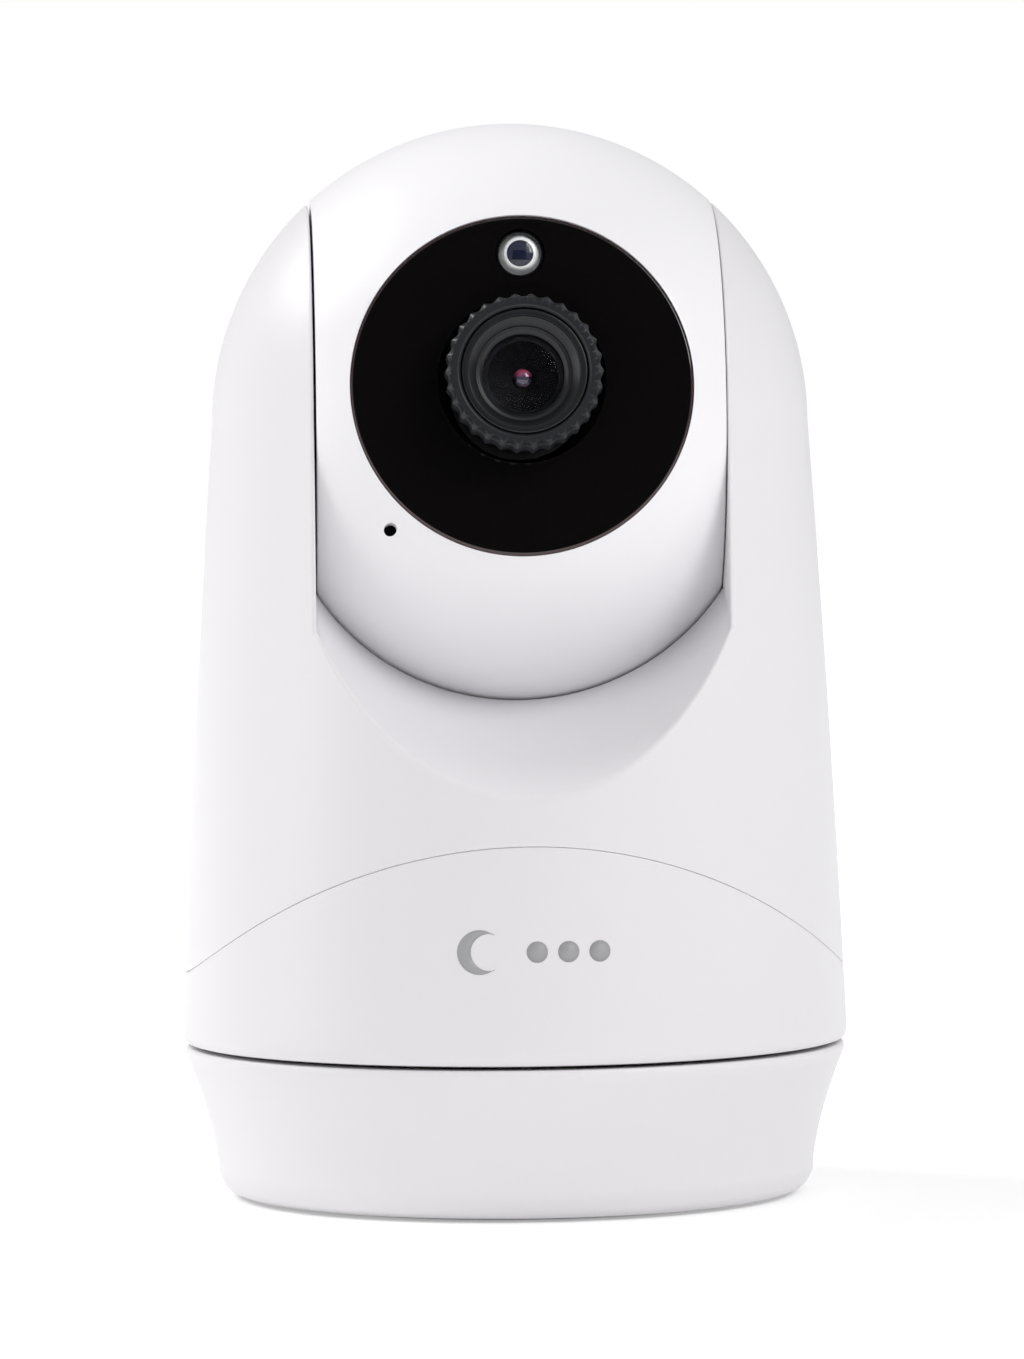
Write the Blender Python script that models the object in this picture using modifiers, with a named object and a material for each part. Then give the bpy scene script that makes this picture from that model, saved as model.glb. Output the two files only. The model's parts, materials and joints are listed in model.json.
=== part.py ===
"""Pan-and-tilt baby monitor camera: a round foot, a turning body with two arms, and a tilting ball head.

+Z is up and the camera looks along -Y. The origin is the centre of the foot's underside.
Sizes are in millimetres, and MM turns them into Blender's metres where a shape is made.
"""

from math import acos, asin, cos, pi, radians, sin, tan

import bmesh
import bpy
from mathutils import Matrix, Vector

MM = 0.001
GAP = 0.3  # between touching pieces
WALL = 2.0

# Foot
FOOT_TOP_Z = 17.0
FOOT_TOP_R = 37.2
FOOT_WAIST_R = 33.6
FOOT_WAIST_Z = 2.6
COVER_R = 30.8
COVER_Z = (0.4, 2.4)
FOOT_RING_R = (24.0, 29.0)
DECK_Z = (11.6, 13.4)
BOSS_R = (7.6, 9.0)
BOSS_TOP_Z = 16.6
SOCKET_Z = 8.9
SCREW_CIRCLE_R = 20.6
SCREW_HEAD_R, SCREW_HEAD_Z = 2.1, (0.5, 1.1)
SCREW_ANGLES = (-90, 30, 150)
POST_R = (1.3, 2.6)
PLUG_HALF_X, PLUG_BELOW, PLUG_ABOVE, PLUG_Y = 5.8, 3.3, 2.5, 27.0
BUTTON_X, BUTTON_Z, BUTTON_R = 13.0, 8.2, 2.6
BUTTON_FLANGE_Y, BUTTON_FRONT_Y = (25.7, 26.7), 32.4
TRIPOD_R = (3.1, 5.5)
TRIPOD_Z = (0.6, 7.2)

# Turning body
BODY_BOTTOM_Z = 17.4
BODY_BOTTOM_R = 37.5
BODY_FLARE_Z = 19.5
BODY_BULGE = 0.25
BALL_R = 33.6
TILT_AXIS_Z = 87.1
SLOT_HALF = 22.65
BALL_CLEARANCE = 0.5
LIP_Y, LIP_Z = 35.5, 46.6
RAMP_SLOPE = 23.7
RAMP_R = 26.6
REAR_WALL_TOP_Z = 75.0
ARCH_R, ARCH_Z = 52.1, -11.0
REAR_SLOT_FRONT_Y = -5.3
REAR_SCREW_X, REAR_SCREW_Z = 24.0, 47.0
REAR_POST_R = (1.3, 2.9)
REAR_SINK_R, REAR_SINK_Y = 2.5, 24.5
SPEAKER_Z = 31.0
SPEAKER_SLOT_HALF, SPEAKER_SLOT_HIGH = 8.0, 1.4
SPEAKER_SLOT_LEVELS = (24.5, 27.5, 30.5, 33.5, 36.5)
FLOOR_Z = (17.6, 19.4)
HUB_R = (4.4, 6.0)
HUB_BOTTOM_Z = 8.6

# Pan gears: the big one is fixed to the foot, the small one rolls round it
PAN_MODULE = 0.8
PAN_TEETH, PAN_PINION_TEETH = 30, 12
PAN_GEAR_Z = (13.8, 16.8)

# Head
HEAD_TILT = 9.0
HEAD_HALF = 22.1
HEAD_WALL = 1.8
WINDOW_Y = 27.85
WINDOW_R = (9.7, 18.65)
WINDOW_THICK = 1.5
WINDOW_DROP = 0.43  # the window's centre is a little below the lens
SEAT_GAP = 0.2
SENSOR_UP, SENSOR_HOLE_R = 13.98, 2.75
MIC_X, MIC_Z, MIC_R = -14.5, -16.0, 0.7
LAMP_COUNT = 6
LAMP_CIRCLE_R = 14.2
AXLE_R = 3.6
BUSH_R = (3.8, 4.6)

# Tilt gears: the big one is fixed to the arm's axle, the small one rolls round it
TILT_MODULE = 0.6
TILT_TEETH, TILT_PINION_TEETH = 24, 12
TILT_GEAR_X = (13.2, 16.8)

# Lens
LENS_FRONT_Y = 33.85
LENS_RING_R = 8.6
LENS_RING_SCALLOPS = 30
LENS_BARREL_R = 6.9

MOTOR_R = 10.0
FINE, MEDIUM, COARSE = 40, 24, 12  # segments of a full circle

for old in list(bpy.data.objects):
    bpy.data.objects.remove(old)

PARTS = bpy.data.collections.new("baby_monitor_camera")
CUTTERS = bpy.data.collections.new("cutters")
bpy.context.scene.collection.children.link(PARTS)
bpy.context.scene.collection.children.link(CUTTERS)


# ---------------------------------------------------------------- materials


def material(name, color, roughness, metallic=0.0):
    made = bpy.data.materials.new(name)
    made.use_nodes = True
    shader = made.node_tree.nodes["Principled BSDF"]
    shader.inputs["Base Color"].default_value = (*color, 1.0)
    shader.inputs["Roughness"].default_value = roughness
    shader.inputs["Metallic"].default_value = metallic
    made.diffuse_color = (*color, 1.0)
    return made


WHITE = material("white_casing", (0.86, 0.86, 0.87), 0.42)
FOOT_WHITE = material("white_foot", (0.85, 0.85, 0.86), 0.45)
INNER = material("inner_plastic", (0.16, 0.17, 0.18), 0.5)
ACETAL = material("acetal", (0.9, 0.89, 0.84), 0.35)
RUBBER = material("rubber", (0.05, 0.05, 0.055), 0.85)
STEEL = material("steel", (0.62, 0.63, 0.65), 0.3, 1.0)
BRASS = material("brass", (0.78, 0.6, 0.28), 0.3, 1.0)
CIRCUIT = material("circuit_board", (0.03, 0.22, 0.12), 0.4)
TINNED = material("tinned_shield", (0.75, 0.76, 0.78), 0.28, 1.0)
BLACK = material("black_plastic", (0.03, 0.03, 0.035), 0.4)
GLOSS = material("black_window", (0.006, 0.004, 0.005), 0.05)
LENS_BLACK = material("lens_black", (0.045, 0.05, 0.055), 0.35)
GLASS = material("lens_glass", (0.02, 0.02, 0.03), 0.02)
CLEAR = material("clear_lens", (0.8, 0.85, 0.88), 0.05)
CHROME = material("chrome", (0.85, 0.85, 0.86), 0.12, 1.0)
CABLE = material("cable_jacket", (0.1, 0.1, 0.11), 0.6)


# ---------------------------------------------------------------- placing


def place(thing, at, rotation, parent):
    thing.location = Vector(at) * MM
    thing.rotation_euler = [radians(angle) for angle in rotation]
    thing.parent = parent
    return thing


def pivot(name, at, rotation=(0, 0, 0), parent=None):
    """An empty that carries what turns about it."""
    empty = bpy.data.objects.new(name, None)
    PARTS.objects.link(empty)
    return place(empty, at, rotation, parent)


ALONG = {"Z": (0, 0, 0), "X": (0, 90, 0), "FRONT": (90, 0, 0)}
PAN = pivot("pan_axis", (0, 0, 0))
TILT = pivot("tilt_axis", (0, 0, TILT_AXIS_Z), (-HEAD_TILT, 0, 0), PAN)


def add(name, mesh, look, at=(0, 0, 0), rotation=(0, 0, 0), parent=None):
    """A piece, or with no look a cutter."""
    thing = bpy.data.objects.new(name, mesh)
    if look is None:
        CUTTERS.objects.link(thing)
        thing.hide_render = True
        thing.display_type = "WIRE"
    else:
        PARTS.objects.link(thing)
        mesh.materials.append(look)
    return place(thing, at, rotation, parent)


def combine(target, tool, operation="DIFFERENCE"):
    step = target.modifiers.new(f"{operation.lower()} {tool.name}", "BOOLEAN")
    step.operation = operation
    step.solver = "EXACT"
    step.object = tool
    return target


# ---------------------------------------------------------------- shapes


def turned(name, profile, look, along="Z", at=(0, 0, 0), parent=None, segments=MEDIUM):
    """A turned solid. The profile's (radius, height) points run down its outer side."""
    mesh = bpy.data.meshes.new(name)
    points = [(radius * MM, 0, height * MM) for radius, height in profile]
    edges = [(i, i + 1) for i in range(len(points) - 1)]
    if profile[0][0] > 0:
        edges.append((len(points) - 1, 0))
    mesh.from_pydata(points, edges, [])
    thing = add(name, mesh, look, at, ALONG[along], parent)
    spin = thing.modifiers.new("turn", "SCREW")
    spin.steps = spin.render_steps = segments
    spin.use_merge_vertices = True
    spin.merge_threshold = 0.00001
    spin.use_smooth_shade = True
    return thing


def ring(inner, outer, low, high):
    """The profile of a plain ring, or of a disc when inner is 0."""
    if inner == 0:
        return [(0, high), (outer, high), (outer, low), (0, low)]
    return [(outer, high), (outer, low), (inner, low), (inner, high)]


def blocks(name, boxes, look, at=(0, 0, 0), rotation=(0, 0, 0), parent=None):
    """One mesh of boxes, each given by its low and high corners."""
    shape = bmesh.new()
    for low, high in boxes:
        low, high = Vector(low) * MM, Vector(high) * MM
        size = Matrix.Diagonal((*(high - low), 1))
        bmesh.ops.create_cube(shape, size=1, matrix=Matrix.Translation((low + high) / 2) @ size)
    mesh = bpy.data.meshes.new(name)
    shape.to_mesh(mesh)
    shape.free()
    return add(name, mesh, look, at, rotation, parent)


def rods(name, places, radius, low, high, look, along="Z", parent=None, segments=COARSE):
    """One mesh of parallel cylinders, from low to high on the axis that along names."""
    shape = bmesh.new()
    for x, y in places:
        middle = Matrix.Translation(Vector((x, y, (low + high) / 2)) * MM)
        bmesh.ops.create_cone(
            shape,
            cap_ends=True,
            segments=segments,
            radius1=radius * MM,
            radius2=radius * MM,
            depth=(high - low) * MM,
            matrix=middle,
        )
    mesh = bpy.data.meshes.new(name)
    shape.to_mesh(mesh)
    shape.free()
    return add(name, mesh, look, (0, 0, 0), ALONG[along], parent)


def circle(radius, segments, x=0.0, y=0.0):
    turns = [2 * pi * i / segments for i in range(segments)]
    return [(x + radius * cos(turn), y + radius * sin(turn)) for turn in turns]


def extruded(name, outlines, low, high, look, at=(0, 0, 0), rotation=(0, 0, 0), parent=None):
    """A flat outline with its holes, thickened between two heights and made a closed mesh."""
    curve = bpy.data.curves.new(name, "CURVE")
    curve.dimensions = "2D"
    curve.fill_mode = "BOTH"
    curve.extrude = (high - low) / 2 * MM
    for outline in outlines:
        spline = curve.splines.new("POLY")
        spline.points.add(len(outline) - 1)
        for point, (x, y) in zip(spline.points, outline):
            point.co = (x * MM, y * MM, 0, 1)
        spline.use_cyclic_u = True
    drawn = bpy.data.objects.new(name + "_outline", curve)
    bpy.context.scene.collection.objects.link(drawn)
    graph = bpy.context.evaluated_depsgraph_get()
    mesh = bpy.data.meshes.new_from_object(drawn.evaluated_get(graph))
    bpy.data.objects.remove(drawn)
    shape = bmesh.new()
    shape.from_mesh(mesh)
    bmesh.ops.remove_doubles(shape, verts=shape.verts, dist=0.000001)
    bmesh.ops.translate(shape, verts=shape.verts, vec=(0, 0, (low + high) / 2 * MM))
    bmesh.ops.recalc_face_normals(shape, faces=shape.faces)
    shape.to_mesh(mesh)
    shape.free()
    mesh.name = name
    return add(name, mesh, look, at, rotation, parent)


def gear_outline(module, teeth, turn=0.0, backlash=0.12):
    """Involute teeth of 20 degrees, a little short and thinned by the backlash on each flank."""
    pitch = module * teeth / 2
    base = pitch * cos(radians(20))
    root, tip = pitch - 1.1 * module, pitch + 0.8 * module
    middle = tan(radians(20)) - radians(20)

    def half_angle(radius):
        pressure = acos(min(1.0, base / radius))
        return pi / (2 * teeth) - backlash / pitch + middle - (tan(pressure) - pressure)

    flank = [root, pitch, tip]
    points = []
    for tooth in range(teeth):
        centre = 2 * pi * tooth / teeth + turn
        for side, radii in ((-1, flank), (1, flank[::-1])):
            for radius in radii:
                angle = centre + side * half_angle(radius)
                points.append((radius * cos(angle), radius * sin(angle)))
    return points


def cable(name, route, radius, look, parent=None):
    """A flexible lead along a smooth curve through its route."""
    curve = bpy.data.curves.new(name, "CURVE")
    curve.dimensions = "3D"
    curve.bevel_depth = radius * MM
    curve.bevel_resolution = 1
    curve.resolution_u = 4
    curve.use_fill_caps = True
    spline = curve.splines.new("BEZIER")
    spline.bezier_points.add(len(route) - 1)
    for point, place_mm in zip(spline.bezier_points, route):
        point.co = Vector(place_mm) * MM
        point.handle_left_type = point.handle_right_type = "AUTO"
    thing = bpy.data.objects.new(name, curve)
    PARTS.objects.link(thing)
    curve.materials.append(look)
    thing.parent = parent
    return thing


# ---------------------------------------------------------------- foot


def foot_radius(z):
    """The foot's S-shaped side, from the waist up to the seam."""
    share = (z - FOOT_WAIST_Z) / (FOOT_TOP_Z - 0.8 - FOOT_WAIST_Z)
    swell = max(0.0, share) ** 1.55
    return FOOT_WAIST_R + (FOOT_TOP_R - FOOT_WAIST_R) * swell


def around(radius, angles):
    return [(radius * cos(radians(a)), radius * sin(radians(a))) for a in angles]


def base_shell():
    side = [FOOT_TOP_Z - 0.8 - (FOOT_TOP_Z - 0.8 - FOOT_WAIST_Z) * i / 5 for i in range(6)]
    outer = [(FOOT_TOP_R - 0.6, FOOT_TOP_Z)] + [(foot_radius(z), z) for z in side]
    under = [(FOOT_WAIST_R - 0.6, 1.3), (FOOT_WAIST_R - 1.5, 0.6), (COVER_R + 0.4, COVER_Z[0])]
    inside = [(COVER_R + 0.4, 2.9), (31.9, 7.0), (33.0, DECK_Z[0])]
    boss = [(BOSS_R[0], DECK_Z[0]), (BOSS_R[0], BOSS_TOP_Z), (BOSS_R[1], BOSS_TOP_Z)]
    deck = [(BOSS_R[1], DECK_Z[1]), (33.6, DECK_Z[1]), (34.6, FOOT_TOP_Z)]
    shell = turned("base_shell", outer + under + inside + boss + deck, FOOT_WHITE, segments=FINE)
    posts = around(SCREW_CIRCLE_R, SCREW_ANGLES)
    combine(shell, rods("post_tool", posts, POST_R[1], 2.7, DECK_Z[0] + 0.5, None), "UNION")
    combine(shell, rods("post_bore_tool", posts, POST_R[0], 1.0, 9.5, None, segments=12))
    plug_low = (-PLUG_HALF_X, PLUG_Y, SOCKET_Z - PLUG_BELOW)
    plug = (plug_low, (PLUG_HALF_X, 40.0, SOCKET_Z + PLUG_ABOVE))
    combine(shell, blocks("plug_recess_tool", [plug], None))
    button = [(BUTTON_X, BUTTON_Z)]
    combine(shell, rods("button_hole_tool", button, BUTTON_R + GAP, -40, -20, None, "FRONT"))


def bottom_cover():
    low, high = COVER_Z
    groove = [(FOOT_RING_R[1] + GAP, low), (FOOT_RING_R[1] + GAP, 1.6)]
    groove += [(FOOT_RING_R[0] - GAP, 1.6), (FOOT_RING_R[0] - GAP, low)]
    hole = TRIPOD_R[1] + GAP
    profile = [(COVER_R, high), (COVER_R, low), *groove, (hole, low), (hole, high)]
    cover = turned("bottom_cover", profile, FOOT_WHITE, segments=FINE)
    posts = around(SCREW_CIRCLE_R, SCREW_ANGLES)
    combine(cover, rods("screw_hole_tool", posts, 1.4, 0.9, 4.0, None, segments=12))
    sink = SCREW_HEAD_Z[1] + GAP
    combine(cover, rods("screw_sink_tool", posts, SCREW_HEAD_R + GAP, -1.0, sink, None))


def foot_ring():
    turned("foot_ring", ring(*FOOT_RING_R, 0.0, 1.3), RUBBER, segments=FINE)


def tripod_insert():
    inner, outer = TRIPOD_R
    low, high = TRIPOD_Z
    outside = [(0, high), (outer - 1, high), (outer - 1, 3.2), (outer, 3.0), (outer, low)]
    bore = [(inner, low), (inner, high - 1), (0, high - 1)]
    turned("tripod_insert", outside + bore, BRASS, segments=24)


def ballast_plate():
    turned("ballast_plate", ring(7.0, 17.4, 2.7, 5.2), STEEL)


def pan_gear():
    outlines = [gear_outline(PAN_MODULE, PAN_TEETH), circle(BOSS_R[1] + GAP, MEDIUM)]
    extruded("pan_gear", outlines, *PAN_GEAR_Z, ACETAL)


def pan_bush():
    top = BOSS_TOP_Z + GAP
    inner, outer = HUB_R[1] + 0.25, BOSS_R[0] - GAP
    flange = [(BOSS_R[1] - 0.2, top + 0.4), (BOSS_R[1] - 0.2, top)]
    body = [(outer, top), (outer, DECK_Z[0] + 0.2), (inner, DECK_Z[0] + 0.2), (inner, top + 0.4)]
    turned("pan_bush", flange + body, ACETAL, segments=MEDIUM)


def power_board():
    half, rear, tongue = 14.6, 24.4, 28.0
    outline = [(-half, -8.0), (half, -8.0), (half, rear), (6.0, rear), (6.0, tongue)]
    outline += [(-x, y) for x, y in outline[:1:-1]]
    hole = circle(TRIPOD_R[1], COARSE)
    extruded("power_board", [outline, hole], 6.0, 7.2, CIRCUIT)


def power_socket():
    low = (-4.0, 25.0, SOCKET_Z - 1.4)
    high = (4.0, 31.4, SOCKET_Z + 1.6)
    socket = blocks("power_socket", [(low, high)], TINNED)
    mouth = ((-3.4, 27.2, SOCKET_Z - 0.9), (3.4, 35.0, SOCKET_Z + 1.1))
    combine(socket, blocks("socket_mouth_tool", [mouth], None))


def pair_switch():
    back = BUTTON_FLANGE_Y[0] - 1.2
    low, high = (BUTTON_X - 3.0, back - 3.4, 7.5), (BUTTON_X + 2.0, back, 10.6)
    blocks("pair_switch", [(low, high)], BLACK)


def pair_button():
    flange = BUTTON_R + 0.5
    back, step = (-y for y in BUTTON_FLANGE_Y)
    front = -BUTTON_FRONT_Y
    profile = [(0, back), (flange, back), (flange, step), (BUTTON_R, step), (BUTTON_R, front), (0, front)]
    turned("pair_button", profile, INNER, "FRONT", (BUTTON_X, 0, BUTTON_Z), segments=COARSE)


def bottom_screws():
    low, high = SCREW_HEAD_Z
    head = [(SCREW_HEAD_R, high), (SCREW_HEAD_R, low), (0, low)]
    profile = [(0, 8.8), (0.95, 8.8), (0.95, high), *head]
    for number, (x, y) in enumerate(around(SCREW_CIRCLE_R, SCREW_ANGLES), 1):
        turned(f"bottom_screw_{number}", profile, STEEL, "Z", (x, y, 0), segments=12)


# ---------------------------------------------------------------- turning body


def body_radius(z):
    share = (TILT_AXIS_Z - z) / (TILT_AXIS_Z - BODY_FLARE_Z)
    straight = BALL_R + (BODY_BOTTOM_R - BALL_R) * share
    return straight + BODY_BULGE * sin(pi * share)


def body_side(low, high, inset=0.0, steps=5):
    """Points down the body's side between two heights."""
    heights = [high + (low - high) * i / steps for i in range(steps + 1)]
    return [(body_radius(z) - inset, z) for z in heights]


def dome(radius, steps):
    """A quarter circle from the top of the ball down to its equator."""
    turns = [pi / 2 * i / steps for i in range(steps)]
    return [(radius * sin(t), TILT_AXIS_Z + radius * cos(t)) for t in turns]


def ball_profile(radius, half, rounding=0.0):
    """A ball cut flat at both sides, as a profile about the tilt axis."""
    widest = asin((half - rounding) / radius)
    steps = 12
    turns = [widest - 2 * widest * i / steps for i in range(steps + 1)]
    arc = [(radius * cos(t), radius * sin(t)) for t in turns]
    if rounding:
        cheek = arc[0][0] - rounding
        arc = [(cheek, half), *arc, (cheek, -half)]
    return [(0, half), *arc, (0, -half)]


def view_recess(name, grow):
    """The U-shaped recess in front of the head: a trough that falls towards the lip."""
    radius, half = RAMP_R + grow, SLOT_HALF + grow
    end = asin(half / radius)
    steps = 12
    turns = [-end + 2 * end * i / steps for i in range(steps + 1)]
    arc = [(radius * sin(t), -radius * cos(t)) for t in turns]
    outline = [*arc, (half, 60.0), (-half, 60.0)]
    slope = radians(RAMP_SLOPE)
    at = (0, -(LIP_Y + RAMP_R * sin(slope)), LIP_Z + RAMP_R * cos(slope))
    return extruded(name, [outline], -32 - grow, 40, None, at, (90 + RAMP_SLOPE, 0, 0), PAN)


def body_tools():
    """What the body's front and rear shells share: the hollow, the head's space and the arch."""
    hub = (0, 0, TILT_AXIS_Z)
    space = ball_profile(BALL_R + BALL_CLEARANCE, SLOT_HALF)
    walls = ball_profile(BALL_R + BALL_CLEARANCE + WALL, SLOT_HALF + WALL)
    below = body_radius(25.0) - WALL
    hollow = [*dome(BALL_R - WALL, 8), *body_side(25.0, TILT_AXIS_Z, WALL), (below, 10), (0, 10)]
    hollow[0] = (0, TILT_AXIS_Z + BALL_R - WALL)
    cavity = turned("body_hollow_tool", hollow, None, parent=PAN, segments=FINE)
    combine(cavity, turned("ball_wall_tool", walls, None, "X", hub, PAN, MEDIUM))
    combine(cavity, view_recess("recess_wall_tool", WALL))
    rear = ((-SLOT_HALF, REAR_SLOT_FRONT_Y, REAR_WALL_TOP_Z), (SLOT_HALF, 45, 125))
    arch = rods("arch_tool", [(0, ARCH_Z)], ARCH_R + GAP / 2, -60, 60, None, "FRONT", PAN, 96)
    axle = rods("axle_hole_tool", [(-TILT_AXIS_Z, 0)], AXLE_R + GAP, -30, 30, None, "X", PAN)
    return [
        cavity,
        turned("ball_space_tool", space, None, "X", hub, PAN, FINE),
        view_recess("recess_tool", 0.0),
        blocks("rear_slot_tool", [rear], None, parent=PAN),
        arch,
        axle,
    ]


def body_half(name, tools, cut_away):
    """The front or the rear shell: the whole form less the shared tools and the other half."""
    profile = [*dome(BALL_R, 9), *body_side(22.0, TILT_AXIS_Z), (0, 22.0)]
    profile[0] = (0, TILT_AXIS_Z + BALL_R)
    shell = turned(name, profile, WHITE, parent=PAN, segments=FINE)
    for tool in (*tools[:-2], blocks(name + "_half_tool", [cut_away], None, parent=PAN), *tools[-2:]):
        combine(shell, tool)
    return shell


def body_shells():
    tools = body_tools()
    body_half("front_shell", tools, ((-60, -GAP / 2, 0), (60, 60, 130)))
    rear = body_half("rear_shell", tools, ((-60, -60, 0), (60, GAP / 2, 130)))
    screws = [(x, REAR_SCREW_Z) for x in (-REAR_SCREW_X, REAR_SCREW_X)]
    bore_r, post_r = REAR_POST_R
    combine(rear, rods("rear_post_tool", screws, post_r, -26.0, -1.0, None, "FRONT", PAN), "UNION")
    combine(rear, rods("rear_bore_tool", screws, bore_r, -40.0, -0.5, None, "FRONT", PAN, 12))
    combine(rear, rods("rear_sink_tool", screws, REAR_SINK_R, -40.0, -REAR_SINK_Y, None, "FRONT", PAN, 12))


def rear_screws():
    seat = -REAR_SINK_Y - GAP
    head = [(2.2, seat), (2.2, seat - 1.2), (0, seat - 1.2)]
    profile = [(0, -6.0), (1.0, -6.0), (1.0, seat), *head]
    for side, x in (("left", -REAR_SCREW_X), ("right", REAR_SCREW_X)):
        turned(f"rear_screw_{side}", profile, STEEL, "FRONT", (x, 0, REAR_SCREW_Z), PAN, 12)


def skirt_shell():
    top = ARCH_Z + ARCH_R + 2
    chamfer = [(BODY_BOTTOM_R - 0.15, BODY_BOTTOM_Z + 0.8), (BODY_BOTTOM_R - 0.6, BODY_BOTTOM_Z)]
    outer = [*body_side(BODY_FLARE_Z, top, steps=3), *chamfer]
    inner = [(BODY_BOTTOM_R - WALL, BODY_BOTTOM_Z), (body_radius(top) - WALL, top)]
    skirt = turned("skirt_shell", outer + inner, WHITE, parent=PAN, segments=FINE)
    arch = rods("skirt_arch_tool", [(0, ARCH_Z)], ARCH_R - GAP / 2, -60, 60, None, "FRONT", PAN, 96)
    combine(skirt, arch, "INTERSECT")
    half, rise = SPEAKER_SLOT_HALF, SPEAKER_SLOT_HIGH / 2
    slots = [((-half, 30, z - rise), (half, 45, z + rise)) for z in SPEAKER_SLOT_LEVELS]
    combine(skirt, blocks("speaker_slot_tool", slots, None, parent=PAN))


def pan_centre():
    return PAN_MODULE * (PAN_TEETH + PAN_PINION_TEETH) / 2


def pan_chassis():
    low, high = FLOOR_Z
    neck = [(HUB_R[1], low), (HUB_R[1], 11.3), (5.2, 11.3), (5.2, 9.3), (HUB_R[1], 9.3)]
    end = [(HUB_R[1], HUB_BOTTOM_Z), (HUB_R[0], HUB_BOTTOM_Z), (HUB_R[0], high)]
    chassis = turned("pan_chassis", [(35.0, high), (35.0, low), *neck, *end], INNER, parent=PAN)
    hole = [(0, -pan_centre())]
    combine(chassis, rods("shaft_hole_tool", hole, 3.0, low - 1, high + 1, None, parent=PAN))


def pan_retainer():
    clip = turned("pan_retainer", ring(5.5, 9.4, 9.6, 11.0), STEEL, parent=PAN, segments=24)
    mouth = ((-4.2, 0, 9), (4.2, 12, 12))
    combine(clip, blocks("clip_mouth_tool", [mouth], None, parent=PAN))


def pan_drive():
    centre = pan_centre()
    low = FLOOR_Z[1] + GAP
    can = [(0, low + 11), (MOTOR_R, low + 11), (MOTOR_R, low), (2.0, low), (2.0, low - 1), (0, low - 1)]
    turned("pan_motor", can, STEEL, at=(0, -centre, 0), parent=PAN, segments=24)
    shaft = ring(0, 1.2, PAN_GEAR_Z[0], low - 1 - GAP)
    turned("pan_motor_shaft", shaft, STEEL, at=(0, -centre, 0), parent=PAN, segments=12)
    teeth = gear_outline(PAN_MODULE, PAN_PINION_TEETH, radians(90))
    outlines = [teeth, circle(1.5, 12)]
    extruded("pan_pinion", outlines, *PAN_GEAR_Z, ACETAL, (0, -centre, 0), parent=PAN)


def electronics():
    board_y = (13.0, 14.6)
    blocks("main_board", [((-20, board_y[0], 20.0), (20, board_y[1], 49.0))], CIRCUIT, parent=PAN)
    shield = ((-4, board_y[0] - 2.8, 24.0), (13, board_y[0] - GAP, 41.0))
    blocks("processor_shield", [shield], TINNED, parent=PAN)
    radio = ((-18, board_y[0] - 2.4, 30.0), (-6, board_y[0] - GAP, 45.0))
    blocks("radio_module", [radio], TINNED, parent=PAN)
    blocks("antenna", [((27.8, -4.0, 56.0), (28.6, 4.0, 79.0))], CIRCUIT, parent=PAN)
    probe = ((-17, board_y[1] + GAP, 21.5), (-13.5, board_y[1] + 1.6, 23.5))
    blocks("temperature_sensor", [probe], BLACK, parent=PAN)


def speaker():
    at = (0, 0, SPEAKER_Z)
    back, front = -22.5, -31.0
    profile = [(0, back), (7.5, back), (7.5, back - 3.5), (11.0, back - 5), (11.0, front)]
    profile += [(9.6, front), (4.0, front + 2.2), (0, front + 1.6)]
    turned("speaker", profile, BLACK, "FRONT", at, PAN, 24)
    gasket = ring(9.4, 11.0, front - 1.2, front - GAP)
    turned("speaker_gasket", gasket, RUBBER, "FRONT", at, PAN, 24)


def tilt_axles():
    """Flanged axles in the arms. The left one is hollow, for the head's cable."""
    flange = SLOT_HALF + WALL + GAP
    hub = (0, 0, TILT_AXIS_Z)
    tip = TILT_GEAR_X[0] - 0.8
    right = [(0, flange + 1.5), (6.5, flange + 1.5), (6.5, flange), (AXLE_R, flange), (AXLE_R, tip), (0, tip)]
    turned("tilt_axle_right", right, ACETAL, "X", hub, PAN, 24)
    bore, tip = 2.2, -17.0
    left = [(AXLE_R, tip), (AXLE_R, -flange), (6.5, -flange), (6.5, -flange - 1.5)]
    left += [(bore, -flange - 1.5), (bore, tip)]
    turned("tilt_axle_left", left, ACETAL, "X", hub, PAN, 24)


def tilt_gear():
    low, high = TILT_GEAR_X
    teeth = gear_outline(TILT_MODULE, TILT_TEETH, radians(-HEAD_TILT))
    outlines = [teeth, circle(AXLE_R + GAP, 24)]
    extruded("tilt_gear", outlines, low, high, ACETAL, (0, 0, TILT_AXIS_Z), (90, 0, 90), PAN)


def cables():
    route = [(0, 0, 7.8), (0, 0, 16.0), (0, 1.5, 20.8), (0, 7.0, 22.1), (0, 12.6, 22.1)]
    cable("hub_cable", route, 1.6, CABLE, PAN)
    axle = (-29.0, 0.0, 84.0), (-26.0, 0.0, 87.1), (-14.5, 0.0, 87.1)
    route = [(-17.5, 9.5, 47.5), (-24.0, 8.0, 53.0), (-29.2, 4.0, 62.0), (-29.6, 0.5, 75.0), *axle]
    cable("tilt_cable", route, 1.1, CABLE, PAN)


# ---------------------------------------------------------------- head


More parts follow.
